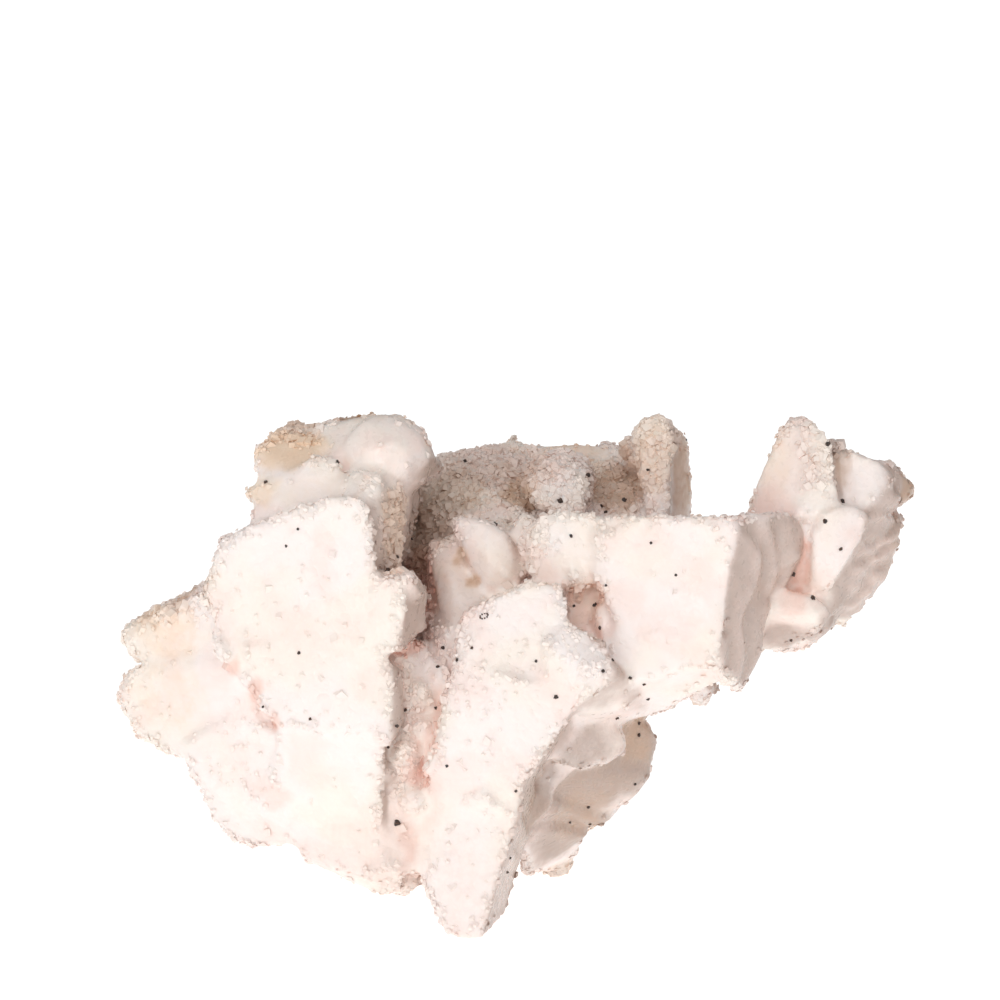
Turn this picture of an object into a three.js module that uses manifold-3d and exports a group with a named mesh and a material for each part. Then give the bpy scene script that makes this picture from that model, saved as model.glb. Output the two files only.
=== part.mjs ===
// A loose kutnahorite specimen: blocky crystals grown together into one solid, with smaller ones
// all over them. Millimetres, +Z up, the front faces -Y. The origin lies under the middle of its box,
// on the surface it stands on.
import * as THREE from "three";
import { ConvexGeometry } from "three/addons/geometries/ConvexGeometry.js";
import { mergeVertices } from "three/addons/utils/BufferGeometryUtils.js";
import Module from "manifold-3d";

const wasm = await Module();
wasm.setup();

// Corners are set out on a drawing board as [across, up, back]: where an eye sees the corner on the board,
// and how far behind the front foot it lies. The eye is EYE from the board, looks down by PITCH
// and meets the board at AIM. The board's zero is the front foot.
const EYE = 600;
const PITCH = THREE.MathUtils.degToRad(8);
const AIM = { across: -2.25, up: 55.75 };

// Small crystals sprout on the larger facets, a corner outwards. There are `count` of them. `edge` is
// their shortest and longest edge, and a higher `rarity` makes the long ones rarer. `sink` is the least
// and the most of an edge that lies below the facet, and `lean` how far they tip. Facets smaller than
// `facet` square millimetres have none, and neither has anything lower than `from`.
const SPROUTS = {
  count: 69,
  edge: [2.2, 5],
  rarity: 1.5,
  sink: [0.2, 0.35],
  lean: 0.35,
  facet: 8,
  from: 3,
  seed: 11,
};
// A rhombohedron is a cube squashed along its diagonal: this makes the angles between its edges
// 102 degrees.
const SQUASH = 0.695;
// A front face with more corners than this has a simpler outline behind.
const FULL_OUTLINE = 8;
// Corners nearer to each other than this are one corner.
const WELD = 1e-4;
// The sides of the facets of a rounded growth, around it and from top to bottom.
const ROUND = { around: 10, down: 6 };
// What lies below the floor is cut away with a block this wide and this deep.
const FLOOR = { width: 400, depth: 100 };
// A linear congruential generator.
const CHANCE = { factor: 1664525, step: 1013904223, range: 2 ** 32 };
const LOOK = { color: 0xf3e2da, roughness: 0.5, metalness: 0 };

// Front crystals, from left to right.
const FRONT = {
  upperPlate: {
    face: [
      [-37, 51, 6.5], [-31, 53.4, 5], [-23.6, 56.2, 3.6], [-20.9, 56.4, 3], [-19, 55.4, 2.6],
      [-18.2, 52, 2.4], [-17.4, 46, 2], [-17.3, 40, 1.8], [-28, 37, 3.4], [-37.8, 41, 7],
      [-39, 45, 7.4], [-37.9, 46.6, 7.2],
    ],
    depth: 14,
  },
  lowerPlate: {
    face: [
      [-37.8, 41.4, 7], [-28, 41, 3.6], [-17.4, 42, 1.7], [-16.8, 36.5, 1.5], [-16.6, 27.5, 1.2],
      [-18, 26.6, 1.4], [-26, 26.8, 2.4], [-30, 27.5, 3.6], [-34, 33, 5.4], [-38.5, 38, 7.6],
    ],
    depth: 14,
  },
  tooth: {
    face: [
      [-18, 46.3, 1.4], [-14.8, 46.2, 0.6], [-12.4, 46, 5], [-11.3, 43.8, 6], [-11.9, 41, 5.4],
      [-13.1, 39, 4], [-14.3, 37, 2.2], [-16.4, 36.7, 1.2], [-18, 37, 1.4], [-14.2, 42, 0.4],
    ],
    depth: 12,
  },
  knuckle: {
    face: [
      [-18, 37, 1.5], [-15.8, 35, 1.2], [-14.6, 34.6, 3], [-14.3, 30, 3], [-14.7, 27.4, 2.8],
      [-15.8, 25.5, 1.8], [-17.2, 25.5, 1.2], [-18.2, 27, 1.4],
    ],
    depth: 9,
  },
  chinBlock: {
    face: [
      [-30, 27, 4], [-25, 27.4, 2.6], [-18, 27, 2.2], [-17, 26, 2.4], [-16.8, 23.5, 2.6],
      [-17.5, 19, 3.6], [-24, 17, 4.6], [-31, 20.5, 5],
    ],
    depth: 13,
  },
  chinSlab: {
    face: [
      [-31, 23.5, 5.4], [-23.7, 20.5, 3.4], [-20, 21.5, 3.2], [-17, 20, 3.4], [-17.2, 12, 4.6],
      [-16.6, 7.6, 6], [-22, 9.2, 6.4], [-28, 12.5, 7.4], [-33, 17, 7.4],
    ],
    depth: 14,
  },
  chinRim: {
    face: [
      [-28, 13, 6.8], [-20, 15, 4.6], [-14.8, 9.4, 5.4], [-14.4, 7.2, 7], [-17.8, 6.6, 8],
      [-22.2, 8.9, 8.2], [-26.8, 11, 8],
    ],
    depth: 12,
  },
  rimTip: {
    face: [[-16, 13, 7.4], [-12.9, 10.6, 8], [-12.2, 7.8, 9], [-14.5, 6.4, 9.4], [-17, 7, 8.6]],
    depth: 10,
  },
  jawBlock: {
    face: [
      [-41.6, 25.5, 11], [-36, 28.5, 7.4], [-30.5, 27, 5.2], [-29.5, 21, 5.6], [-32, 17.6, 7],
      [-38.6, 18.2, 10.4], [-41, 21.6, 11.6],
    ],
    depth: 13,
  },
  jawCorner: {
    face: [
      [-39.5, 19.5, 10.6], [-33, 20.5, 6.6], [-29.6, 18.5, 6.2], [-28.8, 12.6, 8.4], [-33, 12.3, 9.4],
      [-35.6, 13.4, 10], [-38.1, 16, 11],
    ],
    depth: 13,
  },
  upperWing: {
    face: [
      [-49.4, 38, 17], [-48.7, 40.1, 17], [-43.5, 42.1, 14], [-40.6, 42.6, 12], [-37.6, 44.7, 9.5],
      [-35, 41, 8], [-36, 36.5, 8.4], [-42, 34.6, 12.4], [-48, 36, 16.4],
    ],
    depth: 12, shrink: 0.95, slide: [0.3, 1.5],
  },
  lowerWing: {
    face: [
      [-49.6, 31.4, 16.4], [-48.9, 33.8, 16], [-46.6, 35.2, 15], [-41, 37, 11.6], [-36.5, 35.4, 7.8],
      [-34, 31, 6.6], [-31.5, 27, 6.2], [-36, 27.6, 8], [-42.3, 23.6, 12.4], [-47.3, 26.6, 15.4],
      [-48.8, 29, 16.4],
    ],
    depth: 14,
  },
  tanBlock: {
    face: [
      [-33.1, 60.4, 12.5], [-32.4, 62, 13.5], [-30.4, 63.7, 15.5], [-27.7, 64.8, 17.5],
      [-23.3, 65.2, 18.5], [-23.6, 63.4, 16], [-25, 61.6, 13], [-26.4, 59.8, 11], [-28, 58.8, 10],
      [-32.2, 57.8, 10.6],
    ],
    depth: 13,
  },
  crestChip: {
    face: [[-30.4, 63.8, 16], [-28, 65.1, 17.5], [-27, 64.9, 17.5], [-28.6, 63.4, 16]],
    depth: 5,
  },
  paleShelf: {
    face: [
      [-33.8, 56.9, 11.4], [-32.2, 57.7, 10.4], [-28, 58.6, 9.2], [-25.4, 61.1, 9.6],
      [-22.7, 60.8, 9.2], [-21.8, 58.4, 8.6], [-22.4, 57.2, 7.4], [-25.4, 56, 7.2], [-28.6, 54.9, 7.8],
      [-32.4, 54.6, 10],
    ],
    depth: 15,
  },
  shelfLip: {
    face: [[-32.6, 54.8, 10.4], [-30, 55.2, 8.6], [-30.6, 53.4, 8.4], [-32.2, 52.6, 9.4]],
    depth: 8,
  },
  caveCheek: {
    face: [
      [-19.9, 57, 4.6], [-17.5, 59.6, 7], [-14.2, 58.6, 10], [-12.9, 57.4, 14], [-13.2, 54, 15],
      [-14.6, 50.4, 15], [-15.6, 46.5, 11], [-17.2, 46.4, 5], [-18, 52, 3],
    ],
    depth: 20,
  },
  brow: {
    face: [
      [-22.5, 57.6, 6.4], [-20.6, 59.6, 7.4], [-17.6, 59.4, 6.4], [-16.2, 57.4, 6.4],
      [-17.6, 55.4, 4.6], [-20.8, 56.2, 4.4],
    ],
    depth: 12,
  },
  domeCheek: {
    face: [[-12.4, 61.6, 15], [-9.8, 60.8, 17], [-9.2, 59.6, 18], [-11.4, 58.4, 17], [-13.6, 58.8, 14]],
    depth: 9,
  },
  longColumn: {
    face: [
      [-11, 47.6, 21], [-10.4, 49.6, 21], [-8.6, 50.6, 20], [-7.5, 49.4, 18], [-7, 47.2, 16.5],
      [-5.8, 45.6, 14.5], [-4.2, 43.9, 12], [-5.2, 42, 9.5], [-7.4, 40.6, 9], [-9.2, 38.4, 9.4],
      [-10.6, 37.6, 11.5], [-11.6, 38.4, 14], [-10.6, 43.5, 18],
    ],
    depth: 12,
  },
  ovalPlate: {
    face: [
      [-7.8, 51.2, 17], [-6.5, 52.8, 17], [-4.1, 53.3, 16.4], [-2.4, 52.4, 15], [-0.7, 51.4, 15],
      [0.2, 49.4, 15], [1.4, 46.6, 15], [0.4, 44.2, 14], [-2, 43.7, 13], [-4.4, 44.7, 13.5],
      [-6.2, 47, 15], [-3.4, 49.6, 11.5], [-1.4, 46.4, 11],
    ],
    depth: 11,
  },
  grooveUpper: {
    face: [
      [-15.4, 46, 22], [-10.4, 44, 20], [-8.4, 36, 12.5], [-8.2, 30, 10], [-9.6, 25, 9],
      [-14.6, 25, 9.6], [-15.4, 32, 13], [-15.8, 38, 18],
    ],
    depth: 14,
  },
  grooveLower: {
    face: [
      [-15.6, 27, 9.6], [-9.6, 27, 8.6], [-10.6, 19, 7.2], [-12, 14, 7.4], [-12.6, 8.4, 9],
      [-15, 8.2, 9.4], [-17.4, 14, 9.4], [-17.4, 24, 9.4],
    ],
    depth: 12,
  },
  bladeTop: {
    face: [
      [-7.3, 40.4, 6.4], [-5.6, 42.7, 6.2], [-3, 43.7, 5.6], [-0.3, 44.2, 5.4], [1.7, 45.4, 5.6],
      [5.6, 45.2, 5.4], [6, 42.8, 4.4], [6.4, 40, 3.6], [5.8, 33, 2.4], [3.4, 29, 1.8], [-7.6, 31, 3.6],
      [-7.8, 36, 5],
    ],
    depth: 12,
  },
  bladeCheek: {
    face: [
      [3, 38, 2.4], [6.4, 40.2, 3.4], [8.2, 39.4, 3.4], [9.9, 37.6, 3], [12.5, 35.1, 2.8],
      [13.2, 33.9, 2.6], [10.4, 32.9, 1.6], [8.4, 30.6, 1.6], [7.2, 29.4, 2], [3.6, 29.6, 1.6],
      [8.6, 35, 0.6],
    ],
    depth: 9,
  },
  bladeMiddle: {
    face: [
      [-7.8, 36, 4.8], [-8.6, 30.5, 4], [-9.3, 25.6, 3.6], [-11.6, 21.5, 4.4], [-1, 19, 2],
      [0.9, 20.5, 2.2], [2.4, 22.7, 2.2], [4, 24.8, 2.4], [4.9, 27.2, 2.2], [7.2, 29.4, 2],
      [7.4, 32, 1.6], [0, 33, 2],
    ],
    depth: 13, shrink: 0.86, slide: [1.5, 0],
  },
  bladeFoot: {
    face: [
      [-9.6, 25.4, 4], [1.6, 22.4, 2.4], [-0.3, 18.4, 2.6], [-1.2, 14, 2.8], [-2.4, 9, 3.2],
      [-3.6, 4.3, 3.7], [-5.2, 0.2, 4.1], [-6.8, -0.2, 4.2], [-9.4, 2.2, 5], [-11.6, 7.2, 6],
      [-12.6, 12, 6.4], [-11.6, 20, 5.2],
    ],
    depth: 15, shrink: 0.84, slide: [3.2, 0.4],
  },
  hollowFloor: {
    face: [[4, 46.5, 12], [12.5, 45.5, 12], [13.4, 36.5, 11], [8.4, 35, 8], [5, 38.4, 9]],
    depth: 8,
  },
  hollowStep: {
    face: [[10, 43, 8.6], [12, 42.4, 9], [12.2, 39.4, 8], [10.6, 38.4, 7.4], [9.4, 40.4, 9]],
    depth: 5,
  },
  rightPlate: {
    face: [
      [9, 53.6, 8.4], [12.8, 53.8, 7.8], [19.2, 52.6, 6.4], [26.7, 53.3, 4.6], [26.1, 46, 4.1],
      [25, 38.6, 4], [19, 38, 4.8], [12.4, 39.6, 6.6], [8.6, 49.6, 8.6],
    ],
    depth: 12,
  },
  rightHem: {
    face: [
      [12.4, 40.6, 6.8], [25.2, 40, 4.2], [24.8, 35.6, 4.4], [20.9, 35.3, 5], [16.8, 33.4, 5.6],
      [14.2, 33.6, 6], [12.2, 35.4, 6.4], [11.4, 38, 7],
    ],
    depth: 11,
  },
  shoulder: {
    face: [
      [1.6, 51.4, 9.6], [3.2, 53.6, 10], [6, 54.4, 10], [9.6, 54, 9], [11, 46, 8.8], [8, 44.9, 9],
      [4.4, 45.2, 9.4], [1.8, 45.6, 10], [4.6, 50, 8.4],
    ],
    depth: 12,
  },
  shoulderLumps: {
    face: [
      [-0.6, 52.6, 15.5], [0.2, 53.9, 16], [1.8, 53.6, 15], [2, 50, 13], [1.8, 46.4, 12.4],
      [0.4, 47, 14], [-0.2, 50.4, 15],
    ],
    depth: 9,
  },
  flankInner: {
    face: [
      [26.4, 53.2, 4.7], [27.4, 53.6, 5.2], [29.6, 54.1, 8], [30.5, 53.6, 9.6], [30.2, 48.6, 9.4],
      [29.4, 44.4, 9], [27.6, 40.6, 7], [25.6, 40, 4.2], [25.9, 46, 4.4],
    ],
    depth: 9,
  },
  flankMiddle: {
    face: [
      [29.8, 53.9, 9], [31.4, 54.3, 9.4], [33.2, 53.9, 12], [32.9, 50.4, 12.6], [31.4, 46, 12],
      [29.4, 43, 10.4], [28.4, 43.4, 8.4], [29.8, 48.6, 8.2],
    ],
    depth: 9,
  },
  flankOuter: {
    face: [
      [32.8, 53.8, 12], [34.6, 53.4, 13.4], [35.5, 51.6, 15], [35.2, 48.4, 15.6], [34.2, 46, 15.6],
      [31.6, 43.9, 14.6], [30.4, 43.6, 12.4], [31.8, 46.6, 12], [33, 50.4, 11.8],
    ],
    depth: 8,
  },
  heel: {
    face: [
      [25.2, 37.8, 5], [26.2, 39, 5.6], [28.6, 40.8, 9], [29.8, 40.4, 11], [30.2, 38.2, 12.4],
      [30, 36.9, 12.6], [29.1, 34.9, 12], [27.8, 32.4, 11], [27.2, 32.2, 10.4], [25.4, 33.4, 8],
      [24.7, 34.9, 5.4],
    ],
    depth: 8,
  },
  heelStep: {
    face: [[26.6, 42, 6], [29.6, 43.6, 10.6], [31.2, 43, 13], [30.2, 39.4, 12.4], [27, 39, 7]],
    depth: 8,
  },
  underLeft: {
    face: [
      [7.2, 29.4, 3], [8.4, 30.6, 3.2], [10.4, 32.9, 3.4], [13, 33.9, 4.2], [15.8, 33.6, 7],
      [16.2, 29, 14], [12.8, 27.6, 15], [8.4, 28.4, 9],
    ],
    depth: 13,
  },
  underRight: {
    face: [
      [13.6, 34.6, 6.4], [16.8, 33.6, 6.2], [20.9, 35.3, 5.8], [24.6, 35.4, 5.4], [25, 33.6, 9],
      [22.7, 31.9, 12], [20.2, 30.9, 14], [17.7, 29.2, 16], [15, 28.4, 16.4],
    ],
    depth: 12,
  },
  greyTile: {
    face: [
      [4.7, 27.2, 7], [7.3, 28.9, 8], [10.6, 28.7, 10.6], [13.2, 26.4, 12.6], [13.3, 24.7, 12.8],
      [10.9, 22.8, 12], [7, 22.8, 10], [4.1, 23.7, 7.6],
    ],
    depth: 13,
  },
  flankSlab: {
    face: [
      [11, 28, 18], [15.9, 28, 22], [17.3, 25.8, 23], [16.4, 21.4, 24], [14, 18.3, 25.4],
      [8.8, 15, 26.4], [5.6, 17, 22], [4.5, 21.4, 15],
    ],
    depth: 13,
  },
  flankFoot: {
    face: [
      [2.6, 20.4, 14], [7, 18.4, 22], [8.4, 14.6, 28], [7.4, 11.6, 32], [5, 9.9, 35], [2.2, 9.9, 29],
      [0.6, 9, 24], [0.2, 13, 18],
    ],
    depth: 12,
  },
  heelPoint: {
    face: [
      [3.4, 13, 35], [7.4, 12.8, 36.6], [6.6, 10, 38.6], [5.7, 8.6, 39.6], [4.8, 8.4, 39.6],
      [4.1, 9.4, 38.6], [2.2, 10.4, 36],
    ],
    depth: 7,
  },
  towerFace: {
    face: [
      [29, 54, 18.4], [29.9, 57.8, 18.4], [31, 60.8, 18.6], [32.8, 64.8, 19.6], [34.4, 66.2, 20.4],
      [36, 65.8, 20], [38.5, 63.2, 17.8], [39.5, 59.6, 16], [40, 56.2, 15.2], [39.8, 54.6, 14.8],
      [36.4, 53.6, 14.6], [34.6, 54.4, 16],
    ],
    depth: 9,
  },
  towerFlank: {
    face: [
      [38.5, 63.1, 18], [39.8, 62.9, 20], [41.6, 61.7, 22.5], [42.8, 60, 23.5], [43, 54.6, 20],
      [39.9, 55, 16],
    ],
    depth: 9,
  },
  towerNeck: {
    face: [
      [34.6, 54, 16.6], [37.4, 53.4, 15.4], [37.2, 48.6, 16.4], [36.6, 44.6, 17], [33.4, 43.6, 18],
      [34.4, 47, 17],
    ],
    depth: 9,
  },
  whiteRhomb: {
    face: [
      [37, 52, 14.2], [38.2, 54, 13.8], [39.8, 54.8, 13.6], [41.6, 55.2, 14], [43.8, 53.9, 15],
      [43.6, 52.6, 15], [40.9, 48.2, 14], [39.8, 46.2, 14], [38.4, 44.3, 14.6], [36.8, 44.4, 15.4],
      [36.4, 45.4, 15.4], [37, 48.9, 14.4],
    ],
    depth: 12,
  },
  crown: {
    face: [
      [41.4, 61.9, 19.6], [45, 60.8, 18.8], [47.3, 58.7, 19.4], [46.9, 57.4, 19], [44.1, 55.9, 17],
      [42.3, 55.4, 17], [41.9, 56.4, 18], [42.7, 60, 19],
    ],
    depth: 11,
  },
  crownFoot: {
    face: [
      [42.5, 55.3, 16.6], [45.6, 56.4, 18.6], [46.9, 57.4, 20], [48.3, 55.5, 22.4], [46.2, 54.2, 20],
      [43.6, 53.4, 17],
    ],
    depth: 11,
  },
  edgeTop: {
    face: [
      [44.8, 60.7, 23], [46.1, 60.8, 23.4], [47.3, 60, 24], [49.4, 57.6, 25.4], [49.6, 56.7, 25.6],
      [48.4, 55.4, 25], [46, 56, 21.5],
    ],
    depth: 8,
  },
  edgeMass: {
    face: [
      [43.4, 53.4, 17.8], [47.2, 53.3, 23.6], [46.8, 49.6, 25], [42.2, 43, 26.4], [39.8, 41.6, 25],
      [40, 46, 17.8],
    ],
    depth: 8,
  },
  thumb: {
    face: [
      [31.6, 43.6, 14.4], [32.4, 44.5, 15], [34.9, 44.2, 14.6], [37, 43.6, 14], [38.6, 42.4, 14.2],
      [38.9, 41.4, 14.8], [37.8, 39.7, 15.2], [36.4, 38.9, 15.6], [34.8, 39.4, 15], [33.4, 40.3, 14.4],
      [31.1, 41.4, 14.2], [36.6, 41.4, 12.6],
    ],
    depth: 9,
  },
  thumbBase: {
    face: [
      [29, 40.2, 14.6], [32.3, 40.8, 14.8], [34.9, 39.6, 15.4], [37.8, 39.7, 17.6], [39.8, 40.4, 20],
      [37.9, 38.5, 20.6], [36.1, 37.3, 20], [34, 36.8, 19], [32.2, 37, 18], [30.4, 37.1, 17],
      [29.9, 38.2, 15.6],
    ],
    depth: 9,
  },
  ridgeSlope: {
    face: [
      [-12.6, 60.5, 34], [-10.6, 61, 33], [-7, 61.3, 35], [-4.6, 61.8, 36], [-2.2, 62.4, 38],
      [1, 62.8, 40], [2, 58, 33], [0.6, 53.6, 24], [-3, 52.6, 23], [-8.6, 51.6, 25], [-11.6, 52.6, 27],
      [-13, 56, 30],
    ],
    depth: 9,
  },
  ridgeWall: {
    face: [[0, 62.4, 40], [7, 62.6, 40], [14, 62, 39], [16.2, 58, 33], [16.2, 52.4, 26], [0, 52.8, 25]],
    depth: 8,
  },
  caveFloor: {
    face: [
      [-14.6, 52, 30], [-8, 53, 26], [-7.2, 47.4, 21], [-10.4, 43.4, 21], [-15, 43.8, 26],
      [-16, 48, 30],
    ],
    depth: 12,
  },
  nuggetLeft: {
    face: [
      [1.2, 59.6, 27], [3, 61.2, 29], [4.8, 60.6, 26.6], [4.6, 56.8, 24], [3, 54.6, 22.6],
      [1, 57, 24.6], [3.2, 58.6, 24.6],
    ],
    depth: 8,
  },
  nuggetRight: {
    face: [
      [3.6, 61.4, 29.6], [5, 62.3, 30.6], [8.2, 60.8, 30], [9.6, 59.2, 28], [9.5, 57.2, 25.4],
      [8.2, 54.2, 22.4], [4.6, 54, 22], [3.4, 57, 24], [6.4, 58.6, 24.4],
    ],
    depth: 8,
  },
  postFace: {
    face: [
      [14.6, 64.3, 29], [16, 65.7, 28.6], [17.2, 66.1, 28.4], [18.6, 65.6, 28], [19.1, 61, 26],
      [18.9, 52.6, 25], [16.6, 53.2, 25], [16.3, 58, 26], [16.6, 60.4, 27],
    ],
    depth: 8,
  },
  postFlank: {
    face: [
      [18.4, 65.2, 28.6], [20.2, 64.4, 30], [20.9, 63.2, 31], [20.8, 61, 31], [21.3, 59, 31.4],
      [20.8, 57.8, 31], [21.4, 56.6, 31.6], [20.9, 55, 31.4], [21.2, 52.6, 31.6], [18.9, 52.6, 26],
      [18.9, 60, 27],
    ],
    depth: 7,
  },
  postRoot: {
    face: [
      [13, 62.4, 32], [14.8, 64, 31], [16.2, 62.2, 29.6], [16.8, 60.4, 28.6], [15.6, 59.8, 29.4],
      [13.6, 61, 31],
    ],
    depth: 7,
  },
};

// What carries the front crystals from behind.
const CORE = {
  left: {
    face: [
      [-37, 46, 13], [-20, 55, 12], [-16, 46, 16], [-15.6, 12, 13], [-18, 9.5, 14], [-32, 15, 14],
      [-40, 25, 15], [-44, 33, 17],
    ],
    depth: 25, shrink: 0.86,
  },
  crease: {
    face: [
      [-38.4, 37, 9.6], [-33, 33, 7.4], [-29.6, 27, 6.6], [-29, 23, 7], [-37, 24, 9.6], [-40, 28, 11],
    ],
    depth: 10,
  },
  middle: {
    face: [
      [-14, 46, 30], [0, 46, 18], [12, 42, 16], [12, 30, 16], [2, 20, 14], [-3, 8, 13], [-10, 6, 13],
      [-14, 12, 15], [-14, 26, 17],
    ],
    depth: 22, shrink: 0.92,
  },
  bridge: {
    face: [[-26, 44, 24], [0, 44, 24], [0, 22, 26], [-10, 13, 28], [-26, 18, 26]],
    depth: 19, shrink: 0.9,
  },
  right: {
    face: [[0, 52, 16], [24, 52, 15], [27.4, 44, 12], [26, 36, 12], [12, 33, 14], [2, 40, 14]],
    depth: 21, shrink: 0.84,
  },
  heelRoot: {
    face: [[23.6, 43, 8], [30.4, 43, 13], [29.4, 36, 12.6], [24, 34.6, 8]],
    depth: 11,
  },
  tower: {
    face: [
      [24, 51, 15], [35, 53.2, 19], [42, 54, 21], [44, 48, 24], [39, 42, 22], [30, 40, 16],
      [24, 40, 14],
    ],
    depth: 12, shrink: 0.88,
  },
  ridge: {
    face: [
      [-14, 58, 34], [0, 60, 38], [16, 60, 38], [19, 55, 31], [16, 46, 22], [0, 46, 20], [-14, 46, 26],
    ],
    depth: 10, shrink: 0.92,
  },
  knob: {
    face: [
      [-31, 60, 15], [-26, 63, 18], [-14, 62, 17], [-12, 56, 19], [-14, 48, 18], [-33, 48, 12],
      [-32.4, 53.4, 10.4],
    ],
    depth: 17, shrink: 0.84,
  },
  knobRoot: {
    face: [[-33, 54.4, 9.6], [-24, 58, 7.8], [-19, 58, 6], [-18, 54, 5], [-34, 50, 8]],
    depth: 12,
  },
  restLeft: {
    face: [
      [-27, 25, 22], [-8, 25, 24], [-9, 13, 33], [-12.8, 8.6, 34], [-14.6, 7.4, 35], [-20.5, 8.4, 42],
      [-24.6, 10.6, 44], [-27, 14, 40],
    ],
    depth: 6, shrink: 0.96,
  },
  restRight: {
    face: [[-6, 22, 30], [8, 22, 28], [8.4, 15, 34], [7, 12.4, 37], [-2, 11, 37], [-8, 13, 36]],
    depth: 10, shrink: 0.9,
  },
};

// Blocks that break up the back: the middle of each, and the length of its edges.
const BACK_BLOCKS = [
  [[-37, 35, 31], 9], [[-30, 43, 35], 10], [[-25, 30, 38], 12], [[-33, 26, 31], 8], [[-22, 46, 36], 9],
  [[-20, 20, 40], 10], [[-24, 57, 29], 8], [[-17, 58, 27], 7], [[-7, 35, 43], 12], [[3, 41, 38], 10],
  [[3, 29, 40], 9], [[-3, 21, 43], 8], [[-13, 42, 41], 9], [[12, 45, 35], 9], [[20, 46, 32], 8],
  [[22, 40, 27], 7], [[13, 37, 34], 8], [[36, 54, 29], 8], [[40, 48, 31], 7], [[36, 60, 26], 6],
  [[-6, 56, 44], 7], [[4, 57, 46], 8], [[13, 57, 45], 7], [[9, 27, 34], 8], [[31, 46, 25], 8],
  [[-12, 14, 42], 8],
];
// How far their diagonals lean from straight back.
const BACK = { lean: 0.9, seed: 5 };

// Rounded growths, as ellipsoids: half widths across, back and up.
const DOMES = {
  whiteDome: { at: [-16.4, 61, 14.6], radii: [6.1, 6.6, 5.7] },
};

// The edge of the far right is a fan of plates that overlap like shingles, each from its root out to
// its rim. `width` is that of a plate, where 1 would only just touch the next. `push` moves the upper
// and the lower corner of each rim along its swell.
const FAN = {
  plates: 6,
  root: { first: [43.4, 53.2, 17], last: [38.8, 43, 17] },
  rim: { first: [48, 53.4, 23.4], last: [40.4, 40.8, 25], swell: [1.3, -1, 0.6] },
  width: 1.15,
  push: [-0.2, 0.3],
  tilt: 0.8,
  depth: 8,
};

const FORWARD = new THREE.Vector3(0, Math.cos(PITCH), -Math.sin(PITCH));
const UPWARD = new THREE.Vector3(0, Math.sin(PITCH), Math.cos(PITCH));
const EYE_POINT = new THREE.Vector3(AIM.across, 0, 0)
  .addScaledVector(UPWARD, AIM.up)
  .addScaledVector(FORWARD, -EYE);
const DIAGONAL = new THREE.Vector3(1, 0, 0);

// The point at `back` on the sight line through the board at (across, up).
function place([across, up, back]) {
  const line = new THREE.Vector3(across - AIM.across, 0, 0)
    .addScaledVector(UPWARD, up - AIM.up)
    .addScaledVector(FORWARD, EYE);
  return EYE_POINT.clone().addScaledVector(line, (back - EYE_POINT.y) / line.y);
}

// A repeatable stream of numbers from 0 to 1.
function stream(seed) {
  let state = seed;
  return () => {
    state = (Math.imul(state, CHANCE.factor) + CHANCE.step) >>> 0;
    return state / CHANCE.range;
  };
}

// A closed three.js geometry as a manifold solid.
function solid(geometry) {
  const bare = geometry.clone();
  bare.deleteAttribute("normal");
  bare.deleteAttribute("uv");
  const merged = mergeVertices(bare, WELD);
  return new wasm.Manifold(
    new wasm.Mesh({
      numProp: 3,
      vertProperties: merged.attributes.position.array,
      triVerts: new Uint32Array(merged.index.array),
    }),
  );
}

// One crystal: the hull of its front corners and of the same outline `depth` further back, drawn in by
// `shrink` and moved by `slide` on the board. Long outlines keep every other corner there.
function crystal({ face, depth, shrink = 0.88, slide = [0, 0] }) {
  const middle = [0, 1].map((i) => face.reduce((sum, corner) => sum + corner[i], 0) / face.length);
  const corners = face.length > FULL_OUTLINE ? face.filter((_, i) => i % 2 === 0) : face;
  const behind = corners.map(([across, up, back]) => [
    middle[0] + (across - middle[0]) * shrink + slide[0],
    middle[1] + (up - middle[1]) * shrink + slide[1],
    back + depth,
  ]);
  return solid(new ConvexGeometry([...face, ...behind].map(place)));
}

// A rounded growth.
function dome({ at, radii }) {
  const geometry = new THREE.SphereGeometry(1, ROUND.around, ROUND.down);
  geometry.scale(...radii);
  geometry.translate(...place(at));
  return solid(geometry);
}

// The plates of a fan. Each is tilted, so that its lower side stands out over the next.
function fan({ plates, root, rim, width, push, tilt, depth }) {
  const mix = (first, last, t) => first.map((value, i) => value + (last[i] - value) * t);
  const onRim = (t, shift) => {
    const bulge = Math.sin(Math.PI * t) + shift;
    return mix(rim.first, rim.last, t).map((value, i) => value + rim.swell[i] * bulge);
  };
  const lift = ([across, up, back], by) => [across, up, back + by];
  return Array.from({ length: plates }, (_, i) => {
    const upper = i / plates;
    const lower = (i + width) / plates;
    const face = [
      lift(mix(root.first, root.last, upper), tilt),
      lift(onRim(upper, push[0]), tilt),
      lift(onRim(lower, push[1]), -tilt),
      lift(mix(root.first, root.last, lower), -tilt),
    ];
    return crystal({ face, depth });
  });
}

// A rhombohedron with edges `edge` long before the squash, its diagonal along +X.
function rhombohedron(edge) {
  const geometry = new THREE.BoxGeometry(edge, edge, edge);
  const diagonal = new THREE.Vector3(1, 1, 1).normalize();
  geometry.applyQuaternion(new THREE.Quaternion().setFromUnitVectors(diagonal, DIAGONAL));
  geometry.scale(SQUASH, 1, 1);
  return geometry;
}

// The turn that brings +X to `facing`, with a random spin about it.
function aim(facing, next) {
  const turn = new THREE.Quaternion().setFromUnitVectors(DIAGONAL, facing.clone().normalize());
  return turn.multiply(new THREE.Quaternion().setFromAxisAngle(DIAGONAL, next() * 2 * Math.PI));
}

// A random vector with parts from -size to size.
function jitter(size, next) {
  return new THREE.Vector3(next() - 0.5, next() - 0.5, next() - 0.5).multiplyScalar(2 * size);
}

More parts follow.
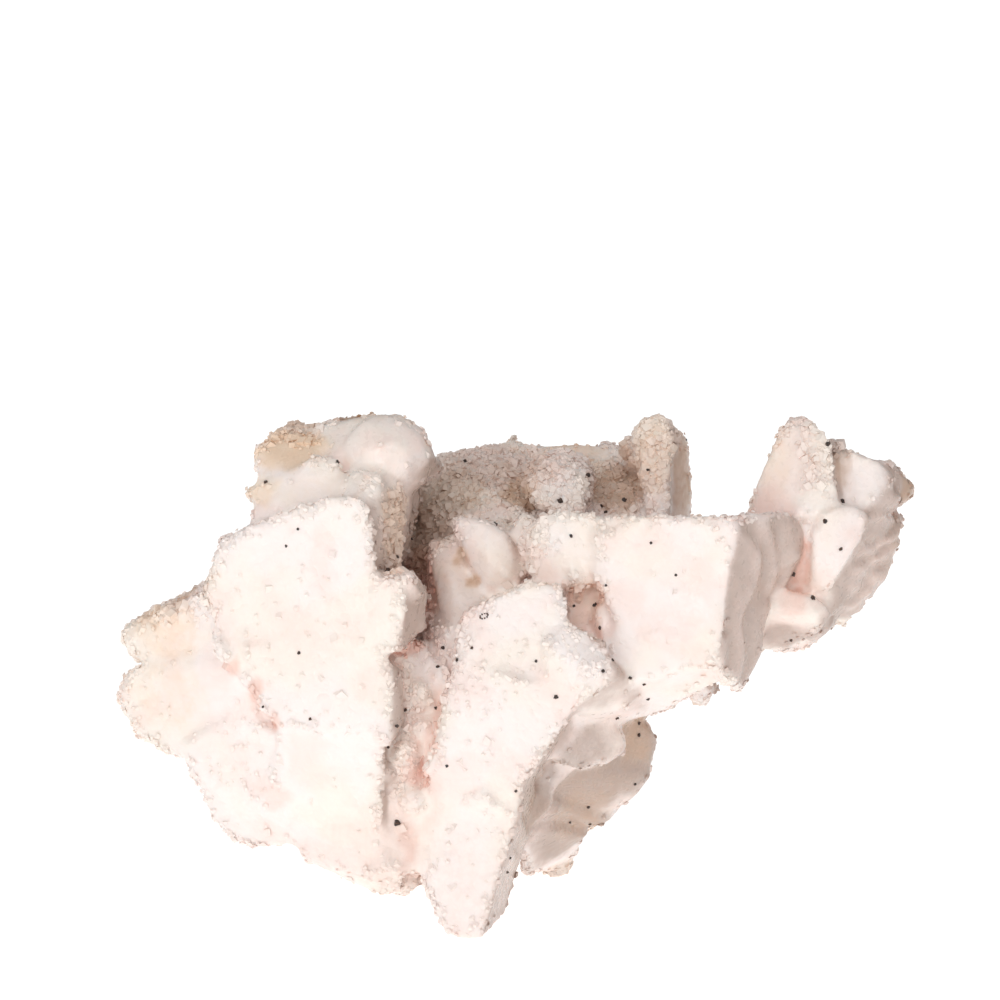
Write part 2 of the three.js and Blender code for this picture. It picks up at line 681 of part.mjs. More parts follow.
// The blocks of the back, their diagonals leaning every way.
function backBlocks(blocks, { lean, seed }) {
  const next = stream(seed);
  return blocks.map(([at, edge]) => {
    const geometry = rhombohedron(edge);
    geometry.applyQuaternion(aim(new THREE.Vector3(0, 1, 0).add(jitter(lean, next)), next));
    geometry.translate(...place(at));
    return solid(geometry);
  });
}

// Rhombohedra seated at random on a body's surface, above `from`, a corner of each standing out of it.
function sprouts(body, { count, edge, rarity, sink, lean, facet, from, seed }) {
  const next = stream(seed);
  const { vertProperties, triVerts, numProp } = body.getMesh();
  const corner = (i) => new THREE.Vector3().fromArray(vertProperties, triVerts[i] * numProp);
  const triangles = [];
  const reach = [];
  let area = 0;
  for (let i = 0; i < triVerts.length; i += 3) {
    const triangle = new THREE.Triangle(corner(i), corner(i + 1), corner(i + 2));
    if (triangle.getArea() < facet) continue;
    area += triangle.getArea();
    triangles.push(triangle);
    reach.push(area);
  }
  const grown = [];
  while (grown.length < count) {
    const pick = next() * area;
    const { a, b, c } = triangles[reach.findIndex((total) => total >= pick)];
    const normal = new THREE.Triangle(a, b, c).getNormal(new THREE.Vector3());
    const side = Math.sqrt(next());
    const along = next();
    const seat = a.clone().multiplyScalar(1 - side);
    seat.addScaledVector(b, side * (1 - along)).addScaledVector(c, side * along);
    if (seat.z < from) continue;
    const size = THREE.MathUtils.lerp(edge[0], edge[1], next() ** rarity);
    const geometry = rhombohedron(size);
    geometry.applyQuaternion(aim(normal.clone().add(jitter(lean, next)), next));
    seat.addScaledVector(normal, -size * THREE.MathUtils.lerp(sink[0], sink[1], next()));
    geometry.translate(...seat);
    grown.push(solid(geometry));
  }
  return grown;
}

// The outer skin of a solid: pockets sealed inside it are left out.
function outerSkin(body) {
  const { vertProperties, triVerts, numProp, numVert } = body.getMesh();
  const parent = Array.from({ length: numVert }, (_, i) => i);
  const find = (i) => {
    while (parent[i] !== i) i = parent[i] = parent[parent[i]];
    return i;
  };
  for (let i = 0; i < triVerts.length; i += 3) {
    parent[find(triVerts[i])] = find(triVerts[i + 1]);
    parent[find(triVerts[i + 1])] = find(triVerts[i + 2]);
  }
  const tally = new Map();
  for (const vertex of triVerts) tally.set(find(vertex), (tally.get(find(vertex)) ?? 0) + 1);
  const [outer] = [...tally].reduce((most, entry) => (entry[1] > most[1] ? entry : most));
  const geometry = new THREE.BufferGeometry();
  const point = (i) => [...vertProperties.slice(i * numProp, i * numProp + 3)];
  const places = Array.from({ length: numVert }, (_, i) => point(i));
  geometry.setAttribute("position", new THREE.Float32BufferAttribute(places.flat(), 3));
  geometry.setIndex(Array.from(triVerts).filter((vertex) => find(vertex) === outer));
  return geometry;
}

// All the given solids joined into one.
function union(solids) {
  return solids.reduce((whole, piece) => whole.add(piece));
}

const masses = union([
  ...Object.values(FRONT).map(crystal),
  ...Object.values(CORE).map(crystal),
  ...Object.values(DOMES).map(dome),
  ...fan(FAN),
]);

const blocky = union([masses, ...backBlocks(BACK_BLOCKS, BACK)]);
const grown = union([blocky, ...sprouts(blocky, SPROUTS)]);

// The feet are worn flat where they stand.
const floorCut = new THREE.BoxGeometry(FLOOR.width, FLOOR.width, FLOOR.depth);
floorCut.translate(0, 0, -FLOOR.depth / 2);
const cluster = grown.subtract(solid(floorCut));

const geometry = outerSkin(cluster);
geometry.computeBoundingBox();
const { min, max } = geometry.boundingBox;

const kutnahorite = new THREE.Mesh(geometry, new THREE.MeshStandardMaterial(LOOK));
kutnahorite.name = "kutnahorite";
kutnahorite.position.set(-(min.x + max.x) / 2, -(min.y + max.y) / 2, -min.z);

const specimen = new THREE.Group();
specimen.add(kutnahorite);

export default specimen;
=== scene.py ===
"""Dresses a loose kutnahorite specimen: its druse, its stain and painted shade, its dark grains, and a
plain studio around it.

Lengths are metres in the part's own frame: +Z is up, the front faces -Y, and the specimen stands on z = 0.
"""
import logging
import math
from dataclasses import dataclass, field
from enum import Enum

import bmesh
import bpy
import numpy as np
from mathutils import Matrix, Quaternion, Vector, noise
from mathutils.bvhtree import BVHTree


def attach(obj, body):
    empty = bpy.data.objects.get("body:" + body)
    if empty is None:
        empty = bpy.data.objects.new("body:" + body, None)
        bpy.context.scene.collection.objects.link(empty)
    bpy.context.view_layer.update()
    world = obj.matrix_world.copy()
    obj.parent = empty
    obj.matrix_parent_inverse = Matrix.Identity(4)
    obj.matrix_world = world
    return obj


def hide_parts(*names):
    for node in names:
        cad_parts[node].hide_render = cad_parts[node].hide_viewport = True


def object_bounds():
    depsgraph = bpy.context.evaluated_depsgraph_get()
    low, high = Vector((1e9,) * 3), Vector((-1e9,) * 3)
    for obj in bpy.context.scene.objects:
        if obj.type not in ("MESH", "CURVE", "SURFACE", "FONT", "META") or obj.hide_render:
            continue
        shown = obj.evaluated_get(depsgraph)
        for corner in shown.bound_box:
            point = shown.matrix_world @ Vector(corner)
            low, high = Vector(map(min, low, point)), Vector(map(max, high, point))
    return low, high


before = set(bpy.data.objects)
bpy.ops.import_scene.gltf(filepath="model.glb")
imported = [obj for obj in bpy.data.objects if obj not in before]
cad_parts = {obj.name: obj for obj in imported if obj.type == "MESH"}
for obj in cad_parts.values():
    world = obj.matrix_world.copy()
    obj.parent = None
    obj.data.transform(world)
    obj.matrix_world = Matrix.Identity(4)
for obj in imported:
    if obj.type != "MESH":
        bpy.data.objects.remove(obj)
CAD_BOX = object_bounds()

log = logging.getLogger("kutnahorite")

MM = 0.001
NODE = "kutnahorite"
BODY = "root"

Colour = tuple[float, float, float]


def tint(code: str) -> Colour:
    """The linear red, green and blue of a colour written as six hexadecimal digits."""
    parts = (int(code[i : i + 2], 16) / 255 for i in (0, 2, 4))
    return tuple(p / 12.92 if p <= 0.04045 else ((p + 0.055) / 1.055) ** 2.4 for p in parts)


@dataclass(frozen=True)
class Ramp:
    """A smooth step from a floor, at the number low, to a ceiling, at the number high."""

    low: float
    high: float
    floor: float = 0.0
    ceiling: float = 1.0

    def of(self, values: np.ndarray) -> np.ndarray:
        """Where each number comes out, between floor and ceiling."""
        t = np.clip((values - self.low) / (self.high - self.low), 0, 1)
        return self.floor + (self.ceiling - self.floor) * t * t * (3 - 2 * t)


def placed(name: str, data: bpy.types.ID) -> bpy.types.Object:
    """Puts a mesh, a light or a camera in the scene.

    Args:
        name: The new object's name.
        data: What it shows.

    Returns:
        The object, at the origin.
    """
    holder = bpy.data.objects.new(name, data)
    bpy.context.collection.objects.link(holder)
    return holder


def baked(shape: bmesh.types.BMesh, name: str) -> bpy.types.Mesh:
    """Turns a finished shape into a mesh.

    Args:
        shape: The shape, which is freed.
        name: The mesh's name.

    Returns:
        The mesh, with flat faces.
    """
    mesh = bpy.data.meshes.new(name)
    shape.to_mesh(mesh)
    shape.free()
    mesh.polygons.foreach_set("use_smooth", [False] * len(mesh.polygons))
    return mesh


def roomy_box(spare: float) -> tuple[np.ndarray, np.ndarray]:
    """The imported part's box in millimetres, with spare room on every side but the bottom."""
    low, high = (np.array(corner) / MM for corner in CAD_BOX)
    return low - [spare, spare, 0], high + spare


# ---------------------------------------------------------------- the eye and its board


@dataclass(frozen=True)
class Board:
    """An upright board at the front foot, on which places are read off from the eye that looks at it.

    A place on it is given in millimetres across and up from the front foot. The eye looks down by the
    pitch at the board's middle, which is the aim, and sees a square of the board as wide as the width.
    """

    eye: Vector = Vector((-2.199, -612.602, 138.711)) * MM
    distance: float = 600.0
    pitch: float = math.radians(8)
    aim_across: float = -2.25
    aim_up: float = 55.75
    foot: float = -26.2 * MM
    width: float = 125.0

    @property
    def forward(self) -> Vector:
        """The way that the eye looks."""
        return Vector((0, math.cos(self.pitch), -math.sin(self.pitch)))

    @property
    def upward(self) -> Vector:
        """The board's own upward direction."""
        return Vector((0, math.sin(self.pitch), math.cos(self.pitch)))

    def sight(self, across: float, up: float) -> Vector:
        """The direction from the eye to a place on the board.

        Args:
            across: Millimetres to the right of the front foot.
            up: Millimetres above the front foot.

        Returns:
            A unit vector.
        """
        sideways = Vector((across - self.aim_across, 0, 0))
        upwards = self.upward * (up - self.aim_up)
        return (sideways + upwards + self.forward * self.distance).normalized()

    def place(self, across: float, up: float, back: float) -> Vector:
        """The point that lies so many millimetres behind a place on the board, in the part's frame."""
        way = self.sight(across, up)
        return self.eye + way * ((back * MM + self.foot - self.eye.y) / way.y)

    def camera(self, sensor: float = 36.0) -> None:
        """Makes the camera that stands at the eye and sees the whole board.

        Args:
            sensor: The width of the camera's sensor, in millimetres.
        """
        data = bpy.data.cameras.new("camera")
        data.sensor_width = sensor
        data.lens = sensor * self.distance / self.width
        data.clip_start = 0.05
        data.clip_end = 50.0
        holder = placed("camera", data)
        holder.location = self.eye
        holder.rotation_euler = (math.pi / 2 - self.pitch, 0, 0)
        bpy.context.scene.camera = holder


# ---------------------------------------------------------------- shader maths


class Value:
    """A number that changes over a surface: a socket that takes part in Python expressions."""

    def __init__(self, recipe: "Recipe", socket: bpy.types.NodeSocket) -> None:
        """Wraps a socket of a recipe's node tree."""
        self.recipe = recipe
        self.socket = socket

    def _maths(self, operation: str, *operands: "Value | float") -> "Value":
        """Adds a Math node.

        Args:
            operation: The node's operation.
            operands: What its sockets hold, from the first on.

        Returns:
            The node's result.
        """
        inputs = dict(enumerate(operands))
        node = self.recipe.make("ShaderNodeMath", {"operation": operation}, inputs)
        return Value(self.recipe, node.outputs[0])

    def __add__(self, other: "Value | float") -> "Value":
        """The sum."""
        return self._maths("ADD", self, other)

    __radd__ = __add__

    def __sub__(self, other: "Value | float") -> "Value":
        """The difference."""
        return self._maths("SUBTRACT", self, other)

    def __rsub__(self, other: float) -> "Value":
        """The difference, the other way round."""
        return self._maths("SUBTRACT", other, self)

    def __mul__(self, other: "Value | float") -> "Value":
        """The product."""
        return self._maths("MULTIPLY", self, other)

    __rmul__ = __mul__

    def step(self, ramp: Ramp) -> "Value":
        """Where the value comes out on a ramp.

        Args:
            ramp: The ramp.

        Returns:
            The eased value.
        """
        inputs = {
            "Value": self,
            "From Min": ramp.low,
            "From Max": ramp.high,
            "To Min": ramp.floor,
            "To Max": ramp.ceiling,
        }
        node = self.recipe.make("ShaderNodeMapRange", {"interpolation_type": "SMOOTHSTEP"}, inputs)
        return Value(self.recipe, node.outputs["Result"])


@dataclass(frozen=True)
class Clouds:
    """Noise in soft patches: how far apart they lie, in millimetres, and its finer layers."""

    size: float
    detail: float = 2.0
    roughness: float = 0.5


class Recipe:
    """The nodes of one finish."""

    MIX_FACTOR = 0
    MIX_FIRST = 6
    MIX_SECOND = 7
    MIX_RESULT = 2

    def __init__(self, name: str) -> None:
        """Starts a material with a shader and nothing else.

        Args:
            name: The material's name.
        """
        self.material = bpy.data.materials.new(name)
        self.material.use_nodes = True
        self.tree = self.material.node_tree
        self.tree.nodes.clear()
        self.output = self.make("ShaderNodeOutputMaterial")
        self.shader = self.make("ShaderNodeBsdfPrincipled")
        self.tree.links.new(self.shader.outputs["BSDF"], self.output.inputs["Surface"])

    def make(
        self,
        kind: str,
        settings: dict[str, object] | None = None,
        inputs: dict[str | int, object] | None = None,
    ) -> bpy.types.Node:
        """Adds a node.

        Args:
            kind: The node's type.
            settings: The node's own settings, which are set first.
            inputs: What each socket holds, by name or number: a number, a colour, a socket or a Value.

        Returns:
            The new node.
        """
        node = self.tree.nodes.new(kind)
        for name, setting in (settings or {}).items():
            setattr(node, name, setting)
        for name, held in (inputs or {}).items():
            self.fill(node.inputs[name], held)
        return node

    def fill(self, socket: bpy.types.NodeSocket, held: object) -> None:
        """Sets or links what a socket holds.

        Args:
            socket: The socket.
            held: A number, a vector, a colour, another socket or a Value.
        """
        source = held.socket if isinstance(held, Value) else held
        if isinstance(source, bpy.types.NodeSocket):
            self.tree.links.new(source, socket)
        else:
            socket.default_value = (*source, 1.0) if socket.type == "RGBA" else source

    def feed(self, **sockets: object) -> None:
        """Fills the shader's sockets, whose names have underscores here in place of spaces."""
        for name, held in sockets.items():
            self.fill(self.shader.inputs[name.replace("_", " ")], held)

    def place(self) -> bpy.types.NodeSocket:
        """Where a point lies on the specimen."""
        return self.make("ShaderNodeTexCoord").outputs["Object"]

    def kept(self, name: str) -> Value:
        """A number that the piece's own mesh holds."""
        node = self.make("ShaderNodeAttribute", {"attribute_name": name})
        return Value(self, node.outputs["Fac"])

    def clouds(self, clouds: Clouds) -> Value:
        """Adds noise.

        Args:
            clouds: Its size and layers.

        Returns:
            Numbers around 0.5.
        """
        inputs = {
            "Vector": self.place(),
            "Scale": 1 / (clouds.size * MM),
            "Detail": clouds.detail,
            "Roughness": clouds.roughness,
        }
        node = self.make("ShaderNodeTexNoise", {"noise_dimensions": "3D"}, inputs)
        return Value(self, node.outputs["Fac"])

    def cells(self, size: float) -> Value:
        """The distance to the nearest of many scattered points.

        Args:
            size: How far apart the points lie, in millimetres.

        Returns:
            Numbers from 0, at a point, to about 1.
        """
        inputs = {"Vector": self.place(), "Scale": 1 / (size * MM)}
        node = self.make("ShaderNodeTexVoronoi", {"feature": "F1"}, inputs)
        return Value(self, node.outputs["Distance"])

    def blend(self, share: Value, first: object, second: object) -> bpy.types.NodeSocket:
        """Mixes two colours.

        Args:
            share: How much of the second colour there is.
            first: A colour or a socket.
            second: A colour or a socket.

        Returns:
            The socket of the mixed colour.
        """
        inputs = {self.MIX_FACTOR: share, self.MIX_FIRST: first, self.MIX_SECOND: second}
        node = self.make("ShaderNodeMix", {"data_type": "RGBA"}, inputs)
        return node.outputs[self.MIX_RESULT]

    def bump(self, height: Value, depth: float, below: object | None = None) -> bpy.types.NodeSocket:
        """Turns a height into a relief.

        Args:
            height: The height, from 0 to 1.
            depth: How far apart 0 and 1 lie, in millimetres.
            below: The relief that this one lies on, if any.

        Returns:
            The socket of the tilted normal.
        """
        inputs = {"Height": height, "Strength": 1.0, "Distance": depth * MM}
        if below is not None:
            inputs["Normal"] = below
        return self.make("ShaderNodeBump", None, inputs).outputs["Normal"]


# ---------------------------------------------------------------- finishes


class Finish:
    """What a piece is dressed in."""

    def material(self, name: str) -> bpy.types.Material:
        """Makes the material.

        Args:
            name: The material's name.

        Returns:
            The material.
        """
        recipe = Recipe(name)
        self.dress(recipe)
        return recipe.material

    def dress(self, recipe: Recipe) -> None:
        """Adds the nodes and feeds the shader."""
        raise NotImplementedError


@dataclass(frozen=True)
class CarbonateFinish(Finish):
    """Pale carbonate crystal: waxy white, pink in places, with tan, brown and grey stain, and painted
    shade on its sides, in its creases and in its hollows.
    """

    white: Colour = tint("f8ece7")
    cream: Colour = tint("f7ebe1")
    blush: Colour = tint("f7ddd4")
    rose: Colour = tint("ecc3b4")
    tan: Colour = tint("f0d0af")
    # The brown and the grey serve both as stain and as painted shade.
    brown: Colour = tint("c4a184")
    grey: Colour = tint("dcc4ba")
    # A greyish brown that is painted shade only.
    painted_shade: Colour = tint("b6a195")
    cream_clouds: tuple[float, Ramp] = (11.0, Ramp(0.4, 0.6))
    pink_clouds: tuple[float, Ramp] = (6.5, Ramp(0.46, 0.66, 0, 0.5))
    creamy: Ramp = Ramp(0, 1, 0, 0.35)
    ragged: Clouds = Clouds(1.7, detail=3, roughness=0.65)
    raggedness: float = 0.5
    rose_raggedness: float = 0.5
    # Sheltered hollows are painted rosier and darker: painted shade.
    hollow_painted_shade: Ramp = Ramp(0.3, 0.85, 0, 0.36)
    rose_and_shade_ramp: Ramp = Ramp(0.05, 1)
    mark_edge: Ramp = Ramp(0.02, 0.2)
    marked: Ramp = Ramp(0, 1.05)
    sheen: Clouds = Clouds(0.9, detail=1)
    roughness: Ramp = Ramp(0.35, 0.65, 0.34, 0.55)
    glassy: float = 0.24
    facets: tuple[float, Ramp, float] = (1.9, Ramp(0, 0.95, 1, 0), 0.13)
    sugar: tuple[float, Ramp, float] = (0.85, Ramp(0, 0.9, 1, 0), 0.05)
    grit: tuple[Clouds, float] = (Clouds(0.3), 0.03)
    refraction: float = 1.62
    subsurface: float = 0.4
    radii: tuple[float, float, float] = (1.0, 0.55, 0.4)
    depth: float = 1.2 * MM

    def dress(self, recipe: Recipe) -> None:
        """Feeds the shader from the marks that every piece of crystal keeps in its mesh.

        Args:
            recipe: The nodes that it adds to.
        """
        rough = 1 - recipe.kept(Mark.GLASS.value)
        dulled = rough.step(Ramp(0, 1, self.glassy / self.roughness.floor))
        recipe.feed(
            Base_Color=self.colour(recipe),
            Roughness=recipe.clouds(self.sheen).step(self.roughness) * dulled,
            Normal=self.relief(recipe, rough),
            IOR=self.refraction,
        )
        if self.subsurface:
            recipe.shader.subsurface_method = "BURLEY"
            recipe.feed(
                Subsurface_Weight=self.subsurface,
                Subsurface_Radius=self.radii,
                Subsurface_Scale=self.depth,
            )

    def colour(self, recipe: Recipe) -> bpy.types.NodeSocket:
        """Lays the colours over each other, from the white crystal out to the stain and the painted shade.

        Args:
            recipe: The nodes that it adds to.

        Returns:
            The socket of the colour.
        """
        colour = self.white
        for (size, ramp), paint in ((self.cream_clouds, self.cream), (self.pink_clouds, self.blush)):
            colour = recipe.blend(recipe.clouds(Clouds(size)).step(ramp), colour, paint)
        colour = recipe.blend(recipe.kept(Mark.TONE.value).step(self.creamy), colour, self.cream)
        ragged = (recipe.clouds(self.ragged) - 0.5) * self.raggedness
        # Rose stain, with rose painted into sheltered hollows as painted shade.
        rose_and_shade = recipe.kept(Mark.ROSE.value) + recipe.kept(Mark.SHELTER.value).step(self.hollow_painted_shade)
        rose_and_shade = (rose_and_shade + ragged * self.rose_raggedness).step(self.rose_and_shade_ramp)
        colour = recipe.blend(rose_and_shade, colour, self.rose)
        # Grey and brown are partly stain and partly painted shade, and the greyish brown is painted shade
        # only.
        stains_and_shade = {Mark.TAN: self.tan, Mark.GREY_AND_SHADE: self.grey, Mark.PAINTED_SHADE: self.painted_shade, Mark.BROWN_AND_SHADE: self.brown}
        for mark, stain in stains_and_shade.items():
            amount = recipe.kept(mark.value)
            share = amount + amount.step(self.mark_edge) * ragged
            colour = recipe.blend(share.step(self.marked), colour, stain)
        return colour

    def relief(self, recipe: Recipe, rough: Value) -> bpy.types.NodeSocket:
        """Adds the finest relief: facets, sugar on them, and grit. Glassy crystal has hardly any.

        Args:
            recipe: The nodes that it adds to.
            rough: How rough the crystal is.

        Returns:
            The socket of the tilted normal.
        """
        relief = None
        for size, ramp, height in (self.facets, self.sugar):
            relief = recipe.bump(recipe.cells(size).step(ramp) * rough, height, relief)
        clouds, height = self.grit
        return recipe.bump(recipe.clouds(clouds) * rough, height, relief)


@dataclass(frozen=True)
class DarkGrainFinish(Finish):
    """A nearly black ore mineral with a dull metallic sheen and brown rims."""

    black: Colour = tint("352c28")
    rust: Colour = tint("5a4032")
    patches: Clouds = Clouds(0.35)
    rusty: Ramp = Ramp(0.45, 0.7)
    roughness: Ramp = Ramp(0.3, 0.7, 0.35, 0.6)
    pits: tuple[Clouds, float] = (Clouds(0.15), 0.03)

    def dress(self, recipe: Recipe) -> None:
        """Mixes black and rust in small patches, with pits.

        Args:
            recipe: The nodes that it adds to.
        """
        patches = recipe.clouds(self.patches)
        pits, depth = self.pits
        recipe.feed(
            Base_Color=recipe.blend(patches.step(self.rusty), self.black, self.rust),
            Roughness=patches.step(self.roughness),
            Normal=recipe.bump(recipe.clouds(pits), depth),
        )


@dataclass(frozen=True)
class FloorFinish(Finish):
    """Plain white, a little glossy, and bright as a lit table is."""

    white: Colour = tint("cbcbca")
    light: Colour = tint("ffffff")
    glow: float = 0.82
    roughness: float = 0.32
    refraction: float = 1.4

    def dress(self, recipe: Recipe) -> None:
        """Adds plain white and its glow.

        Args:
            recipe: The nodes that it adds to.
        """
        recipe.feed(
            Base_Color=self.white,
            Roughness=self.roughness,
            IOR=self.refraction,
            Emission_Color=self.light,
            Emission_Strength=self.glow,
        )


# ---------------------------------------------------------------- marks on the crystal


class Mark(Enum):
    """What the meshes keep for each point, from 0 to 1."""

    SHELTER = "shelter"
    TONE = "tone"
    ROSE = "rose"
    TAN = "tan"
    # The grey and brown marks are partly stain and partly painted shade; the greyish-brown mark between
    # them is painted shade only.
    GREY_AND_SHADE = "grey"
    PAINTED_SHADE = "painted_shade"
    BROWN_AND_SHADE = "brown"
    GLASS = "glass"


# A patch has its whole strength near its middle, and fades to nothing a little beyond its radii.
FADE = Ramp(1.25, 0.55)


@dataclass(frozen=True)
class Patch:
    """A soft-edged patch of stain, of painted shade or of a texture: an ellipsoid, in millimetres."""

    at: tuple[float, float, float]
    radii: tuple[float, float, float]
    strength: float = 1.0

    def share(self, points: np.ndarray) -> np.ndarray:
        """How much of the patch each point has, from 0 to the patch's strength."""
        reach = np.linalg.norm((points - self.at) / self.radii, axis=1)
        return self.strength * FADE.of(reach)


def patches(*rows: tuple[float, ...]) -> tuple[Patch, ...]:
    """Makes patches from rows of seven numbers: each one's middle, its radii and its strength."""
    return tuple(Patch(row[:3], row[3:6], row[6]) for row in rows)


# Stain and painted shade, mark by mark: tan and rose are stain, grey and brown are partly stain and partly
# painted shade, and the greyish brown is painted shade only.
STAINS_AND_SHADE: dict[Mark, tuple[Patch, ...]] = {
    Mark.TAN: patches(
        (-28.6, -13, 60.8, 5.8, 5.4, 3.2, 0.78), (-32, -15.5, 56, 2.6, 3, 2, 0.5),
        (-26, -17.5, 56.6, 8, 4, 2.6, 0.2), (-44.5, -12.6, 37.6, 7, 6, 4.6, 0.42),
        (-44, -13.7, 29.5, 6.5, 7, 5, 0.32), (-15, -19, 51.5, 3.4, 6, 7, 0.7),
        (-8, -13.5, 43, 3.4, 6, 6.5, 0.24), (-2.4, -13.5, 48, 4.6, 5, 5.4, 0.2),
        (9.2, -15.4, 42.4, 4.6, 4.6, 5.4, 0.3), (16, -19, 52.4, 13, 5, 2.4, 0.14),
        (32.4, -9.4, 60, 3, 5, 7, 0.34), (17.6, 0.4, 58.5, 3.6, 5, 7, 0.4),
        (-16, -10, 64.8, 7, 7, 1.4, 0.25), (-5, 3, 55, 10, 8, 5, 0.3), (46.8, -3.2, 47, 4, 6, 8, 0.2),
        (6.8, -20.4, 35.5, 1.3, 4, 7.5, 0.35), (-7, -11, 46.8, 0.6, 3, 2, 0.5),
        (-5.5, -13, 44.4, 0.6, 3, 1.6, 0.5), (14.6, -5, 22.6, 4, 5, 4, 0.4),
    ),
    Mark.ROSE: patches(
        (-13.5, -18.5, 22, 3.6, 5, 14, 0.26), (-13.6, -18, 36.8, 3.4, 7, 1.5, 0.8),
        (-12.4, -5, 42, 3, 9, 6, 0.9), (-35, -18.5, 34.5, 1.2, 4, 2, 0.7),
        (-32.6, -20, 31, 1.2, 4, 2.4, 0.7), (-30.6, -20.5, 27.6, 1.4, 4, 1.8, 0.65),
        (-30.6, -20.2, 18, 3, 3, 2.6, 0.42), (-34, -18, 22, 5, 4, 5, 0.2),
        (-20, -20, 14, 6, 4, 3, 0.22), (9.4, -15, 41.8, 5.2, 5, 6.4, 0.3),
        (11, -14, 40.4, 1.6, 4, 2.6, 0.7), (35.6, -10.6, 45, 1.3, 4, 4.6, 0.68),
        (34.6, -12.2, 41.4, 2.6, 3, 1.6, 0.5), (-16, -17, 10, 6, 5, 4, 0.35),
        (-10.4, -19, 22, 1.6, 4, 12, 0.5), (-13.2, -18.6, 22, 2.2, 4, 4, 0.72),
        (-14, -18.6, 10.6, 1.4, 4, 5.4, 0.62), (-12.8, -15.6, 30, 2.6, 4, 2.8, 0.32),
        (32.6, -9.6, 53, 4, 4, 3.4, 0.5), (21, -21, 39, 8, 4, 4, 0.25), (-26, -22.5, 36, 9, 4, 9, 0.14),
        (7.4, -13, 27, 3, 5, 2.4, 0.7), (8.6, -3, 12, 2, 5, 3, 0.4),
    ),
    # Brown: iron stain in the cave and on the ridge, and painted shade in the thin bands along the tops of
    # the dome, knob and wings and in the lines down creases and grooves.
    Mark.BROWN_AND_SHADE: patches(
        (-11.8, 0.5, 48.5, 5, 9, 7.5, 0.5), (-8, 2, 53.4, 5, 6, 4, 0.4),
        (15, -4.4, 22.6, 3, 5, 4.4, 0.55), (7.4, -2, 13, 5, 8, 6, 0.42), (-17, -3, 64.4, 9, 4, 2, 0.9),
        (-28.5, -6.6, 62.6, 5.5, 3, 1.6, 0.6), (-6.8, -9.6, 46.6, 0.7, 3, 2, 0.6),
        (-5.3, -11.8, 44.2, 0.7, 3, 1.6, 0.6), (-29.2, -10.2, 62.2, 5.4, 3, 1.9, 0.22),
        (-48, -9.5, 39.6, 4, 5, 1.6, 0.5), (-43, -11.4, 41.6, 4.4, 5, 1.5, 0.52),
        (-38.6, -14, 44.4, 3.6, 5, 1.5, 0.52), (13.4, 5, 54.4, 4.6, 6, 6, 0.65),
        (0.6, 2, 53, 3, 5, 3, 0.7), (1, 4, 56, 7, 8, 4, 0.35), (9.5, -6, 15.4, 7, 6, 8, 0.24),
        (1.8, -17.5, 11, 3.2, 8, 11, 0.3), (21.2, 3, 55.6, 1.4, 5, 7.5, 0.6),
        (41.4, -5.4, 57.4, 1.4, 4, 3.4, 0.5), (50.6, -1, 54.6, 1.8, 6, 4.6, 0.5),
        (48.6, -0.6, 45.6, 2, 6, 6, 0.3),
    ),
    # Grey: partly a dusty tint, partly painted shade on the shaded flanks, the undersides, the base under
    # the thumb and the dome's crest.
    Mark.GREY_AND_SHADE: patches(
        (-3, 5, 56.4, 9, 9, 4.4, 0.6), (9, 6, 58, 7, 7, 4, 0.4), (10.4, -13.6, 24, 6, 8, 5, 0.45),
        (8, -4, 15, 8, 9, 9, 0.4), (46.4, -3, 45.4, 4.6, 7, 8, 0.5), (31.4, -15, 48.4, 4, 6, 8, 0.36),
        (18, -14, 34, 9, 6, 3.6, 0.35), (6, 12, 4, 5, 8, 6, 0.3), (-15, -12, 65, 8, 9, 1.2, 0.2),
        (35, -9, 37, 6, 6, 2, 0.8), (41.6, -11, 50.6, 5, 4, 6, 0.22),
    ),
    # Painted shade: a plain darkening of the shaded slabs under the blade, of its narrow side and of the
    # base under the thumb.
    Mark.PAINTED_SHADE: patches(
        (14, -5, 19.6, 7, 6, 6.6, 1), (9, -6, 16, 7.4, 6, 6, 1), (6.5, -1, 10, 6.4, 7, 6, 1),
        (8, -15.4, 23, 5, 4, 4, 0.7), (35, -9, 36.6, 6, 6, 1.8, 0.6), (2, -17.5, 13, 3.4, 8, 15, 1),
        (6, 11, 2.5, 4, 6, 3, 0.3), (3, -12, 20, 2, 6, 6, 0.6),
    ),
}

